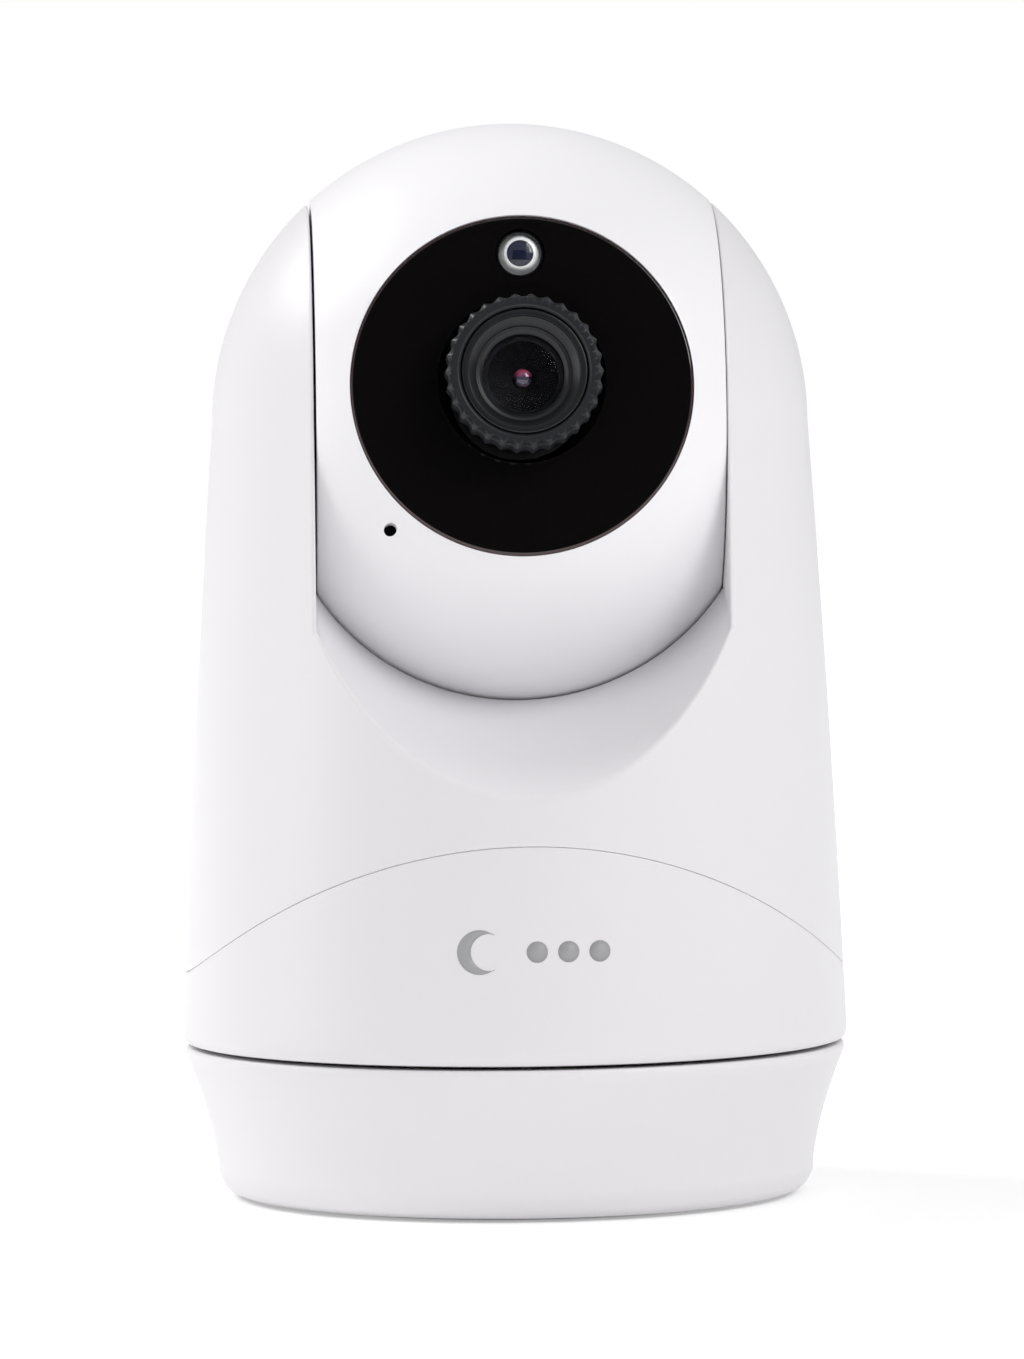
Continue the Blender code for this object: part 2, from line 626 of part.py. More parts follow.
def head_half(name, front):
    """Half of the hollow ball. The window's seat and the hole for the microphone are in front."""
    shell = turned(name, ball_profile(BALL_R, HEAD_HALF, 0.6), WHITE, "X", parent=TILT, segments=FINE)
    hollow = ball_profile(BALL_R - HEAD_WALL, HEAD_HALF - HEAD_WALL)
    combine(shell, turned(name + "_hollow_tool", hollow, None, "X", parent=TILT, segments=MEDIUM))
    bores = rods(name + "_bush_tool", [(0, 0)], BUSH_R[1] + 0.2, -30, 30, None, "X", TILT, 24)
    combine(shell, bores)
    if front:
        cut_away = [((-40, -GAP / 2, -40), (40, 40, 40)), ((-40, -50, -40), (40, 0.45 - WINDOW_Y, 40))]
        centre, seat_r = [(0, -WINDOW_DROP)], WINDOW_R[1] + SEAT_GAP
        seat_y = WINDOW_Y - WINDOW_THICK - GAP
        seat = rods(name + "_seat_tool", centre, seat_r, seat_y, 45, None, "FRONT", TILT, FINE)
        combine(shell, seat)
        hole = rods(name + "_mic_tool", [(MIC_X, MIC_Z)], MIC_R, 10, 40, None, "FRONT", TILT, 8)
        combine(shell, hole)
    else:
        cut_away = [((-40, -40, -40), (40, GAP / 2, 40))]
    return combine(shell, blocks(name + "_half_tool", cut_away, None, parent=TILT))


def window():
    plate, lens_hole = circle(WINDOW_R[1], FINE, 0, -WINDOW_DROP), circle(WINDOW_R[0], MEDIUM)
    outlines = [plate, lens_hole, circle(SENSOR_HOLE_R, COARSE, 0, SENSOR_UP)]
    front = WINDOW_Y
    extruded("window", outlines, front - WINDOW_THICK, front, GLOSS, rotation=(90, 0, 0), parent=TILT)


def light_sensor():
    at = (0, 0, SENSOR_UP)
    cup = [(2.5, 28.1), (2.5, 25.0), (2.1, 25.0), (2.1, 27.6)]
    turned("sensor_cup", cup, CHROME, "FRONT", at, TILT, COARSE)
    bulb = [(0, 28.0), (0.9, 27.8), (1.5, 27.2), (1.8, 26.4), (1.8, 24.6), (0, 24.6)]
    turned("light_sensor", bulb, CLEAR, "FRONT", at, TILT, COARSE)


def microphone():
    turned("microphone", ring(0, 2.0, 18.6, 20.6), BLACK, "FRONT", (MIC_X, 0, MIC_Z), TILT, COARSE)


def lamps():
    outlines = [circle(20.0, MEDIUM), circle(10.4, 24), circle(2.8, COARSE, 0, SENSOR_UP)]
    extruded("lamp_board", outlines, 22.6, 23.6, CIRCUIT, rotation=(90, 0, 0), parent=TILT)
    bulb = [(0, 25.8), (1.0, 25.5), (1.5, 24.8), (1.5, 23.9), (0, 23.9)]
    for number in range(1, LAMP_COUNT + 1):
        turn = pi / 2 + 2 * pi * number / (LAMP_COUNT + 1)
        at = (LAMP_CIRCLE_R * cos(turn), 0, LAMP_CIRCLE_R * sin(turn))
        turned(f"infrared_lamp_{number}", bulb, CLEAR, "FRONT", at, TILT, 12)


def image_side():
    blocks("sensor_board", [((-12, -8.0, -12), (12, -6.8, 12))], CIRCUIT, parent=TILT)
    blocks("image_sensor", [((-4, -9.5, -4), (4, -8.3, 4))], BLACK, parent=TILT)
    mount = [(7.6, 20.0), (7.6, 11.6), (9.5, 11.6), (9.5, 8.3), (6.2, 8.3), (6.2, 20.0)]
    turned("lens_mount", mount, BLACK, "FRONT", parent=TILT, segments=24)


def tilt_centre():
    return TILT_MODULE * (TILT_TEETH + TILT_PINION_TEETH) / 2


def tilt_drive():
    """The motor sits behind the axle, and its pinion rolls round the fixed gear."""
    at = (0, tilt_centre(), 0)
    can = [(0, 12.2), (1.6, 12.2), (1.6, 11.4), (MOTOR_R, 11.4), (MOTOR_R, 0.5), (0, 0.5)]
    turned("tilt_motor", can, STEEL, "X", at, TILT, 24)
    turned("tilt_motor_shaft", ring(0, 0.9, 12.5, TILT_GEAR_X[1]), STEEL, "X", at, TILT, 12)
    half_tooth = pi / TILT_PINION_TEETH
    outlines = [gear_outline(TILT_MODULE, TILT_PINION_TEETH, pi + half_tooth), circle(1.2, 12)]
    extruded("tilt_pinion", outlines, *TILT_GEAR_X, ACETAL, at, (90, 0, 90), TILT)


def tilt_bushes():
    for side, sign in (("left", -1), ("right", 1)):
        near, far = sorted((sign * (HEAD_HALF - HEAD_WALL - 0.3), sign * HEAD_HALF))
        turned(f"tilt_bush_{side}", ring(*BUSH_R, near, far), ACETAL, "X", parent=TILT, segments=24)


# ---------------------------------------------------------------- lens


def lens():
    crest = 2 * LENS_RING_SCALLOPS
    radii = [LENS_RING_R if i % 2 == 0 else LENS_RING_R - 0.35 for i in range(crest)]
    turns = [2 * pi * i / crest for i in range(crest)]
    knurl = [(r * cos(t), r * sin(t)) for r, t in zip(radii, turns)]
    outlines = [knurl, circle(LENS_BARREL_R + 0.2, MEDIUM)]
    extruded("lens_ring", outlines, 26.6, LENS_FRONT_Y, LENS_BLACK, rotation=(90, 0, 0), parent=TILT)
    front = LENS_FRONT_Y - 0.4
    outer = [(LENS_BARREL_R, front), (LENS_BARREL_R, 21.0), (5.9, 21.0), (5.9, 12.0), (2.6, 12.0)]
    bore = [(2.6, 28.8), (4.5, 28.8), (4.5, 31.2), (6.0, front)]
    turned("lens_barrel", outer + bore, LENS_BLACK, "FRONT", parent=TILT, segments=MEDIUM)
    glass = [(0, 31.0), (1.6, 30.8), (3.0, 30.3), (4.2, 29.6), (4.2, 29.1), (0, 29.1)]
    turned("front_glass", glass, GLASS, "FRONT", parent=TILT, segments=24)


base_shell()
bottom_cover()
foot_ring()
tripod_insert()
ballast_plate()
pan_gear()
pan_bush()
power_board()
power_socket()
pair_switch()
pair_button()
bottom_screws()
body_shells()
rear_screws()
skirt_shell()
pan_chassis()
pan_retainer()
pan_drive()
electronics()
speaker()
tilt_axles()
tilt_gear()
cables()
head_half("head_front_shell", True)
head_half("head_rear_shell", False)
window()
light_sensor()
microphone()
lamps()
image_side()
tilt_drive()
tilt_bushes()
lens()
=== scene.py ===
"""Looks of the pan-and-tilt baby monitor camera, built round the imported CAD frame.

Lengths inside the shape functions are in millimetres and MM turns them into metres.
Heights, radii and axes are read from the frame where a node shows them.
"""

import json
from math import acos, asin, atan2, cos, degrees, hypot, pi, radians, sin, sqrt

import bmesh
import bpy
from mathutils import Matrix, Vector


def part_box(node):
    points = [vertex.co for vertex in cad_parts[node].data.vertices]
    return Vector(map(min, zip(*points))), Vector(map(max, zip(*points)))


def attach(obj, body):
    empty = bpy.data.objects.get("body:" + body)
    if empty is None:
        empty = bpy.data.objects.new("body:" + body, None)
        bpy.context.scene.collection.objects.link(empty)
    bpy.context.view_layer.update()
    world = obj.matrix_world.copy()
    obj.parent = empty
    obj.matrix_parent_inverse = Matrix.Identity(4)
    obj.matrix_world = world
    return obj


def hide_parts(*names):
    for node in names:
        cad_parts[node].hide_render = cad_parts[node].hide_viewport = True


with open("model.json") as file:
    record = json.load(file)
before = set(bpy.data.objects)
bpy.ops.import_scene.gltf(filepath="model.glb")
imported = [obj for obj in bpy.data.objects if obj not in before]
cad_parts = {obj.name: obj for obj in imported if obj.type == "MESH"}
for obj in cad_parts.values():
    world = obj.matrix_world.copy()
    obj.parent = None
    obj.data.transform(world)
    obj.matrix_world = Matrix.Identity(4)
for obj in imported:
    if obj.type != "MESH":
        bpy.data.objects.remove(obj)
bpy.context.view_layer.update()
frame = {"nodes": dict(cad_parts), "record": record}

MM = 0.001


# ---------------------------------------------------------------- sizes, from the frame


def low(node):
    return Vector(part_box(node)[0]) / MM


def high(node):
    return Vector(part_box(node)[1]) / MM


def centre_of(node):
    return (low(node) + high(node)) / 2


JOINTS = {joint["name"]: joint for joint in frame["record"]["behaviour"]["joints"]}
PIVOT_Z = JOINTS["tilt"]["pos_m"][2] / MM
LENS_AXIS = Vector(JOINTS["focus"]["axis"])
HEAD_TILT = degrees(asin(LENS_AXIS.z))

BALL_R = high("head_front_shell").z - PIVOT_Z
HEAD_HALF = high("head_front_shell").x + 0.3
HEAD_LEFT, HEAD_RIGHT = HEAD_HALF - 0.05, HEAD_HALF + 0.12  # the gap is narrower on the right
HEAD_GAP = 0.3  # between the ball and the space round it
HEAD_EDGE = 0.45  # the soft edge between the ball and its flat cheeks
SLOT_HALF = HEAD_HALF + 0.2
BODY_BOTTOM_Z = low("skirt_shell").z
BODY_BOTTOM_R = high("skirt_shell").x
BODY_FLARE_Z = BODY_BOTTOM_Z + 2.1
BODY_BULGE = 0.25
FOOT_TOP_Z = high("base_shell").z
FOOT_TOP_R = high("base_shell").x
FOOT_RIM_Z = FOOT_TOP_Z - 0.8
FOOT_WAIST_R, FOOT_WAIST_Z = FOOT_TOP_R - 3.6, 2.6
COVER_R = high("bottom_cover").x
COVER_LOW, COVER_HIGH = low("bottom_cover").z, high("bottom_cover").z

SEAM, SEAM_BEVEL = 0.01, 0.16
WALL, ARM_WALL = 1.7, 0.6  # the arms' edges are wedges that leave no room for more
ARCH_APEX_Z = high("skirt_shell").z + 0.15
ARCH_R = 52.1
ARCH_Z = ARCH_APEX_Z - ARCH_R
LIP_Y, LIP_Z = 35.5, 46.6
RAMP_SLOPE, RAMP_R = radians(23.7), 26.6
REAR_WALL_Z = 75.0
SINK_R, BOSS_R = 2.5, 3.3  # round the rear screws
BUTTON_HOLE_R = 2.85
SPEAKER_SLOT_LEVELS = (24.5, 27.5, 30.5, 33.5, 36.5)

WINDOW_Y, WINDOW_R = 27.85, 18.68
WINDOW_HOLE_R, WINDOW_THICK = 9.2, 1.5
WINDOW_DROP, SEAT_GAP = 0.58, 0.06
SENSOR_UP, SENSOR_HOLE_R = 13.98, 2.72
MIC_X, MIC_Z, MIC_R = -14.5, -16.0, 0.7
RING_R, RING_FRONT = 8.6, 33.85
SCALLOPS, SCALLOP_DEPTH = 30, 0.34
GLASS_R, PUPIL_R = 4.3, 1.0
EMBLEM_Z, EMBLEM_PROUD, EMBLEM_SUNK = 29.8, 0.035, -0.05

EDGE_R = 0.75  # the soft edge round the slot and along the lip
EDGE_STEPS = 6
COLUMNS_ACROSS, COLUMNS_ROUND, BELLY_ROWS = 45, 20, 12  # of the turning body's grids
ROUND = 288  # columns round a large turned piece


# ---------------------------------------------------------------- meshes


def linear(start, end, count):
    return [start + (end - start) * i / (count - 1) for i in range(count)]


def bezier(a, b, c, count):
    """Points of the soft corner at b between a and c."""
    a, b, c = Vector(a), Vector(b), Vector(c)
    return [a * (1 - t) ** 2 + b * 2 * t * (1 - t) + c * t * t for t in linear(0, 1, count)]


class Sheet:
    """A mesh made of grids of points, welded where they meet."""

    def __init__(self):
        self.shape = bmesh.new()
        self.known = {}

    def vertex(self, point):
        key = tuple(round(value * 500) for value in point)
        if key not in self.known:
            self.known[key] = self.shape.verts.new(Vector(point) * MM)
        return self.known[key]

    def grid(self, rows, closed=False):
        """Faces between neighbouring rows. Where points fall together the face loses a side."""
        made = [[self.vertex(point) for point in row] for row in rows]
        for upper, lower in zip(made, made[1:]):
            columns = range(len(upper) if closed else len(upper) - 1)
            for i in columns:
                j = (i + 1) % len(upper)
                corners = [upper[i], lower[i], lower[j], upper[j]]
                corners = [v for k, v in enumerate(corners) if v is not corners[k - 1]]
                if len(set(corners)) == len(corners) > 2 and not self.shape.faces.get(corners):
                    self.shape.faces.new(corners)

    def finish(self, name, outward):
        """The mesh object, with its faces turned so that the first one looks along outward."""
        shape = self.shape
        bmesh.ops.recalc_face_normals(shape, faces=shape.faces)
        shape.faces.ensure_lookup_table()
        shape.normal_update()
        if shape.faces[0].normal.dot(Vector(outward)) < 0:
            bmesh.ops.reverse_faces(shape, faces=shape.faces)
        return shaped(name, shape)


def linked(name, data):
    thing = bpy.data.objects.new(name, data)
    bpy.context.scene.collection.objects.link(thing)
    return thing


def shaped(name, shape):
    """The object of a bmesh, which is freed."""
    mesh = bpy.data.meshes.new(name)
    shape.to_mesh(mesh)
    shape.free()
    return linked(name, mesh)


def thicken(thing, thickness):
    """Makes an open surface a wall, inwards."""
    step = thing.modifiers.new("wall", "SOLIDIFY")
    step.thickness = thickness * MM
    step.offset = -1


def soften(thing, width, segments=3, angle=35):
    """Rounds the sharp edges. width is in millimetres, or gives it from an edge's middle."""
    settle(thing)
    shape = bmesh.new()
    shape.from_mesh(thing.data)
    weight = shape.edges.layers.float.new("bevel_weight_edge")
    sizes = {}
    for edge in shape.edges:
        if len(edge.link_faces) == 2 and edge.calc_face_angle() > radians(angle):
            middle = (edge.verts[0].co + edge.verts[1].co) / 2 / MM
            sizes[edge] = width(middle) if callable(width) else width
    widest = max(sizes.values())
    for edge, size in sizes.items():
        edge[weight] = size / widest
    shape.to_mesh(thing.data)
    shape.free()
    step = thing.modifiers.new("edges", "BEVEL")
    step.width = widest * MM
    step.segments = segments
    step.limit_method = "WEIGHT"
    step.use_clamp_overlap = False


def cut(thing, *tools, keep="DIFFERENCE"):
    """Takes the tools away, or keeps what they share, and makes the result the mesh."""
    for tool in tools:
        step = thing.modifiers.new("cut", "BOOLEAN")
        step.solver = "EXACT"
        step.operation = keep
        step.object = tool
        settle(thing)
        bpy.data.objects.remove(tool)


def settle(thing):
    """Applies the modifiers so far."""
    bpy.context.view_layer.update()
    graph = bpy.context.evaluated_depsgraph_get()
    mesh = bpy.data.meshes.new_from_object(thing.evaluated_get(graph))
    thing.modifiers.clear()
    thing.data = mesh


def smooth(thing, angle=38):
    """Smooth shading with flat faces kept flat."""
    settle(thing)
    thing.data.shade_smooth()
    thing.data.set_sharp_from_angle(angle=radians(angle))
    weighted = thing.modifiers.new("normals", "WEIGHTED_NORMAL")
    weighted.keep_sharp = True
    weighted.weight = 80
    return thing


def rounded(profile, radius, steps=4, closed=True):
    """A flat outline with its corners rounded. radius is one number or one for each corner."""
    count = len(profile)
    radii = radius if isinstance(radius, (list, tuple)) else [radius] * count
    result = []
    for i, (point, size) in enumerate(zip(profile, radii)):
        corner = Vector(point)
        if size <= 0 or (not closed and i in (0, count - 1)):
            result.append(tuple(corner))
            continue
        before, after = Vector(profile[i - 1]), Vector(profile[(i + 1) % count])
        back, ahead = before - corner, after - corner
        reach = min(size, 0.45 * back.length, 0.45 * ahead.length)
        start = corner + back.normalized() * reach
        end = corner + ahead.normalized() * reach
        result += [tuple(p) for p in bezier(start, corner, end, steps + 1)]
    return result


def placed(thing, matrix):
    """Moves a piece's mesh by a matrix in millimetres."""
    move = matrix.copy()
    move.translation = matrix.translation * MM
    thing.data.transform(move)
    return thing


UPRIGHT = Matrix.Identity(4)
HEAD = Matrix.Translation((0, 0, PIVOT_Z)) @ Matrix.Rotation(-radians(HEAD_TILT), 4, "X")
FORWARD = Matrix.Rotation(pi / 2, 4, "X")  # turns a height above the axis into a distance in front
BACKWARD = Matrix.Rotation(-pi / 2, 4, "X")


def turned(name, profile, columns=96, matrix=UPRIGHT, shape=None):
    """A closed turned solid. The (radius, height) profile runs down its outer side.
    shape(angle, radius, height) may change a point's radius."""
    sheet = Sheet()
    closed_profile = profile[0][0] > 1e-6
    rows = []
    for radius, height in profile + (profile[:1] if closed_profile else []):
        row = []
        for i in range(columns):
            turn = 2 * pi * i / columns
            size = shape(turn, radius, height) if shape else radius
            row.append((size * cos(turn), size * sin(turn), height))
        rows.append(row)
    sheet.grid(rows, closed=True)
    thing = sheet.finish(name, (1, 0, 0))
    face_outward(thing)
    return placed(thing, matrix)


def rod(radius, top, bottom, columns, matrix=UPRIGHT):
    """A plain round tool between two heights."""
    return turned("rod", [(0, top), (radius, top), (radius, bottom), (0, bottom)], columns, matrix)


def face_outward(thing):
    """Turns a closed mesh's faces outwards."""
    shape = bmesh.new()
    shape.from_mesh(thing.data)
    if shape.calc_volume(signed=True) < 0:
        bmesh.ops.reverse_faces(shape, faces=shape.faces)
    shape.to_mesh(thing.data)
    shape.free()


def block(name, corner, opposite, matrix=UPRIGHT, edge=0.0):
    """A box between two corners, with softened edges."""
    shape = bmesh.new()
    a, b = Vector(corner) * MM, Vector(opposite) * MM
    size = Matrix.Diagonal((*(b - a), 1))
    bmesh.ops.create_cube(shape, size=1, matrix=Matrix.Translation((a + b) / 2) @ size)
    thing = placed(shaped(name, shape), matrix)
    if edge:
        soften(thing, edge)
    return thing


def slot_tool(name, width, height, depth, matrix, end=None, steps=6):
    """A long tool with rounded ends: width across, height up, and depth along its own Y."""
    radius = height / 2 if end is None else end
    outline = []
    for quarter, (sx, sz) in enumerate(((1, 1), (-1, 1), (-1, -1), (1, -1))):
        cx, cz = sx * (width / 2 - radius), sz * (height / 2 - radius)
        for turn in linear(quarter * pi / 2, (quarter + 1) * pi / 2, steps + 1):
            outline.append((cx + radius * cos(turn), cz + radius * sin(turn)))
    shape = bmesh.new()
    near = [shape.verts.new(Vector((x, -depth / 2, z)) * MM) for x, z in outline]
    far = [shape.verts.new(Vector((x, depth / 2, z)) * MM) for x, z in outline]
    for i in range(len(outline)):
        shape.faces.new([near[i - 1], near[i], far[i], far[i - 1]])
    shape.faces.new(near)
    shape.faces.new(far[::-1])
    bmesh.ops.remove_doubles(shape, verts=shape.verts, dist=1e-7)
    bmesh.ops.recalc_face_normals(shape, faces=shape.faces)
    thing = shaped(name, shape)
    face_outward(thing)
    return placed(thing, matrix)


# ---------------------------------------------------------------- materials


def principled(name, color, roughness, **sockets):
    """A new material. sockets are named as on the shader, with _ for a space."""
    made = bpy.data.materials.new(name)
    made.use_nodes = True
    shader = made.node_tree.nodes["Principled BSDF"]
    shader.inputs["Base Color"].default_value = (*color, 1)
    shader.inputs["Roughness"].default_value = roughness
    for socket, value in sockets.items():
        shader.inputs[socket.replace("_", " ")].default_value = value
    return made, made.node_tree, shader


def own_point(tree):
    """The piece's own coordinates, in metres."""
    return tree.nodes.new("ShaderNodeTexCoord").outputs["Object"]


def texture(tree, kind, scale):
    """A texture on the piece's own coordinates. scale is in features per metre along each axis."""
    mapping = tree.nodes.new("ShaderNodeMapping")
    mapping.inputs["Scale"].default_value = scale
    node = tree.nodes.new(kind)
    node.inputs["Scale"].default_value = 1
    tree.links.new(own_point(tree), mapping.inputs["Vector"])
    tree.links.new(mapping.outputs["Vector"], node.inputs["Vector"])
    return node


def noise(tree, scale, detail=3.0, stretch=(1, 1, 1)):
    """Noise with scale features per millimetre."""
    node = texture(tree, "ShaderNodeTexNoise", [1000 * scale * s for s in stretch])
    node.inputs["Detail"].default_value = detail
    return node.outputs["Fac"]


def mapped(tree, value, ends, results=(0.0, 1.0)):
    """Moves a value from one range to another, and holds it at the ends."""
    node = tree.nodes.new("ShaderNodeMapRange")
    for socket, number in zip(("From Min", "From Max", "To Min", "To Max"), (*ends, *results)):
        node.inputs[socket].default_value = number
    tree.links.new(value, node.inputs["Value"])
    return node.outputs["Result"]


def spread(tree, factor, start, end):
    """Gives a noise's middle half the range from start to end."""
    return mapped(tree, factor, (0.25, 0.75), (start, end))


def distance_from(tree, centre):
    """How far each point is from a centre, in metres."""
    node = tree.nodes.new("ShaderNodeVectorMath")
    node.operation = "DISTANCE"
    node.inputs[1].default_value = centre
    tree.links.new(own_point(tree), node.inputs[0])
    return node.outputs["Value"]


def blend_colors(tree, factor, first, second):
    node = tree.nodes.new("ShaderNodeMix")
    node.data_type = "RGBA"
    node.inputs["A"].default_value = (*first, 1)
    node.inputs["B"].default_value = (*second, 1)
    tree.links.new(factor, node.inputs["Factor"])
    return node.outputs["Result"]


def bump(tree, shader, height, strength, distance):
    node = tree.nodes.new("ShaderNodeBump")
    node.inputs["Strength"].default_value = strength
    node.inputs["Distance"].default_value = distance * MM
    tree.links.new(height, node.inputs["Height"])
    tree.links.new(node.outputs["Normal"], shader.inputs["Normal"])


def moulded(name, color, tone, roughness, grain=4.0, depth=0.004, **sockets):
    """Moulded plastic or rubber: a faint cloudiness of colour, uneven gloss and a fine spark grain."""
    made, tree, shader = principled(name, color, roughness, **sockets)
    cloud = noise(tree, 0.035, 2.0)
    paler = tuple(min(1.0, c * tone) for c in color)
    tree.links.new(blend_colors(tree, cloud, color, paler), shader.inputs["Base Color"])
    patches = noise(tree, 0.12, 4.0)
    gloss = spread(tree, patches, roughness * 0.93, min(1.0, roughness * 1.08))
    tree.links.new(gloss, shader.inputs["Roughness"])
    bump(tree, shader, noise(tree, grain, 2.0), 0.35, depth)
    return made


def metal(name, color, roughness, stretch=(1, 1, 1), grain=3.0):
    """Metal with faint streaks in its colour and gloss."""
    made, tree, shader = principled(name, color, roughness, Metallic=1.0)
    streaks = noise(tree, grain, 3.0, stretch)
    darker = tuple(c * 0.86 for c in color)
    tree.links.new(blend_colors(tree, streaks, darker, color), shader.inputs["Base Color"])
    gloss = spread(tree, streaks, roughness * 0.8, roughness * 1.25)
    tree.links.new(gloss, shader.inputs["Roughness"])
    return made


def circuit(name):
    """Green solder mask over copper tracks, with fine dark speckle."""
    made, tree, shader = principled(name, (0.015, 0.13, 0.06), 0.3)
    cells = texture(tree, "ShaderNodeTexVoronoi", (450, 450, 450))
    cells.feature = "DISTANCE_TO_EDGE"
    tracks = spread(tree, cells.outputs["Distance"], 0.0, 1.0)
    mask = blend_colors(tree, tracks, (0.04, 0.24, 0.1), (0.012, 0.11, 0.05))
    tree.links.new(mask, shader.inputs["Base Color"])
    bump(tree, shader, tracks, 0.3, 0.03)
    return made


def window_material():
    """Glossy infrared-pass acrylic: black, with a faint red-brown glow at its polished rim that is painted
    light in the base colour.
    """
    black, glow = (0.0046, 0.004, 0.0042), (0.05, 0.012, 0.012)
    made, tree, shader = principled("window_gloss", black, 0.06, Specular_IOR_Level=0.5, Coat_Weight=0.4)
    centre = HEAD @ Vector((0, -WINDOW_Y, -WINDOW_DROP)) * MM
    # Painted light: near the rim the base colour turns red-brown, standing in for light seen through the
    # polished edge.
    rim = mapped(tree, distance_from(tree, centre), ((WINDOW_R - 0.3) * MM, (WINDOW_R - 0.02) * MM))
    tree.links.new(blend_colors(tree, rim, black, glow), shader.inputs["Base Color"])
    tree.links.new(spread(tree, noise(tree, 0.08), 0.045, 0.085), shader.inputs["Roughness"])
    return made


def dark_coating(name, color, roughness=0.02, **sockets):
    """Coated optical glass seen as a dark, very glossy surface with a faint bloom."""
    made, tree, shader = principled(name, color, roughness, **sockets)
    tint = tuple(c * 1.6 + 0.002 for c in color)
    tree.links.new(blend_colors(tree, noise(tree, 0.4, 2.0), color, tint), shader.inputs["Base Color"])
    return made


def pupil_material(distance):
    """The small inner element's coating, with painted reflections: pink above, navy in its middle and grey
    below.
    """
    gloss = {"Specular_IOR_Level": 1.0, "Coat_Weight": 1.0}
    made, tree, shader = principled("pupil_painted_reflections", (0.1, 0.02, 0.05), 0.04, **gloss)
    split = tree.nodes.new("ShaderNodeSeparateXYZ")
    tree.links.new(own_point(tree), split.inputs[0])
    centre_z = (HEAD @ Vector((0, -distance, 0))).z
    rise = mapped(tree, split.outputs["Z"], ((centre_z - PUPIL_R) * MM, (centre_z + PUPIL_R) * MM))
    # Painted reflections: the colour follows height, pink above, navy in the middle and grey below.
    painted_reflection_ramp = tree.nodes.new("ShaderNodeValToRGB")
    stops = painted_reflection_ramp.color_ramp.elements
    stops[0].position, stops[0].color = 0.05, (0.20, 0.16, 0.18, 1)
    stops[1].position, stops[1].color = 0.95, (0.40, 0.08, 0.12, 1)
    stops.new(0.3).color = (0.05, 0.04, 0.06, 1)
    stops.new(0.5).color = (0.006, 0.006, 0.03, 1)
    stops.new(0.72).color = (0.30, 0.04, 0.09, 1)
    tree.links.new(rise, painted_reflection_ramp.inputs["Fac"])
    tree.links.new(painted_reflection_ramp.outputs["Color"], shader.inputs["Base Color"])
    return made


def clear_material(name, tint, index=1.5):
    """Clear cast epoxy, or coated glass where the index is low, so that little is mirrored."""
    made, tree, shader = principled(name, tint, 0.03, Transmission_Weight=1.0, IOR=index)
    bump(tree, shader, noise(tree, 0.6, 2.0), 0.1, 0.01)
    return made


WHITE = moulded("white_casing", (0.81, 0.795, 0.82), 1.015, 0.36, 3.5, 0.0035)
# Painted light: a paler copy of the casing's white plastic, which brightens the head as if it were more
# strongly lit.
HEAD_WHITE_PAINTED_LIGHT = moulded("white_head_painted_light", (0.915, 0.90, 0.925), 1.015, 0.33, 3.5, 0.003)
FOOT_WHITE = moulded("white_foot", (0.82, 0.805, 0.83), 1.015, 0.38, 3.5, 0.0035)
INNER = moulded("inner_plastic", (0.05, 0.052, 0.056), 1.2, 0.5)
ACETAL = moulded("acetal", (0.74, 0.73, 0.68), 1.05, 0.3)
RUBBER = moulded("rubber", (0.02, 0.02, 0.022), 1.4, 0.75, 2.0, 0.01)
BLACK = moulded("black_plastic", (0.012, 0.012, 0.014), 1.3, 0.4)
RING_BLACK = moulded(
    "lens_ring_black", (0.0095, 0.0105, 0.0135), 1.15, 0.36, 5.0, 0.006, Specular_IOR_Level=0.4
)
BARREL_BLACK = moulded(
    "barrel_black", (0.007, 0.0075, 0.0095), 1.15, 0.3, 5.0, 0.004, Specular_IOR_Level=0.45
)
STEEL = metal("steel", (0.56, 0.57, 0.59), 0.28, (1, 1, 8))
TINNED = metal("tinned_shield", (0.7, 0.71, 0.73), 0.25, (1, 6, 1))
BRASS = metal("brass", (0.72, 0.53, 0.24), 0.27)
# Painted reflection: a bright non-metallic white stands in for the mirrored light of the sensor's chrome cup.
REFLECTOR_PAINTED_WHITE = moulded("reflector_painted_reflection", (0.95, 0.955, 0.97), 1.0, 0.25, 2.0, 0.002)
CIRCUIT = circuit("circuit_board")
CABLE = moulded("cable_jacket", (0.03, 0.03, 0.034), 1.3, 0.55)
EMBLEM = moulded("emblem_grey", (0.36, 0.36, 0.37), 1.05, 0.42)
CLEAR = clear_material("lamp_epoxy", (0.9, 0.9, 0.92))


def dress(thing, look, body, *nodes, slot=None):
    """Gives a piece its material, its body and the CAD nodes that it stands for."""
    thing.data.materials.clear()
    thing.data.materials.append(look)
    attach(thing, body)
    if nodes:
        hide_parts(*nodes)
    return thing


# ---------------------------------------------------------------- body


def body_radius(z):
    """The turning body's outer radius, taper and dome together."""
    if z >= PIVOT_Z:
        return sqrt(max(0.0, BALL_R**2 - (z - PIVOT_Z) ** 2))
    share = (PIVOT_Z - z) / (PIVOT_Z - BODY_FLARE_Z)
    return BALL_R + (BODY_BOTTOM_R - BALL_R) * share + BODY_BULGE * sin(pi * share)


def arch_height(x, radius):
    """The arched seam's height at x, on a circle of the given radius."""
    return ARCH_Z + sqrt(radius**2 - x * x)


def skin(x, z, side):
    """The outer surface at a given x and height. side is -1 in front and 1 behind."""
    return Vector((x, side * sqrt(max(0.0, body_radius(z) ** 2 - x * x)), z))


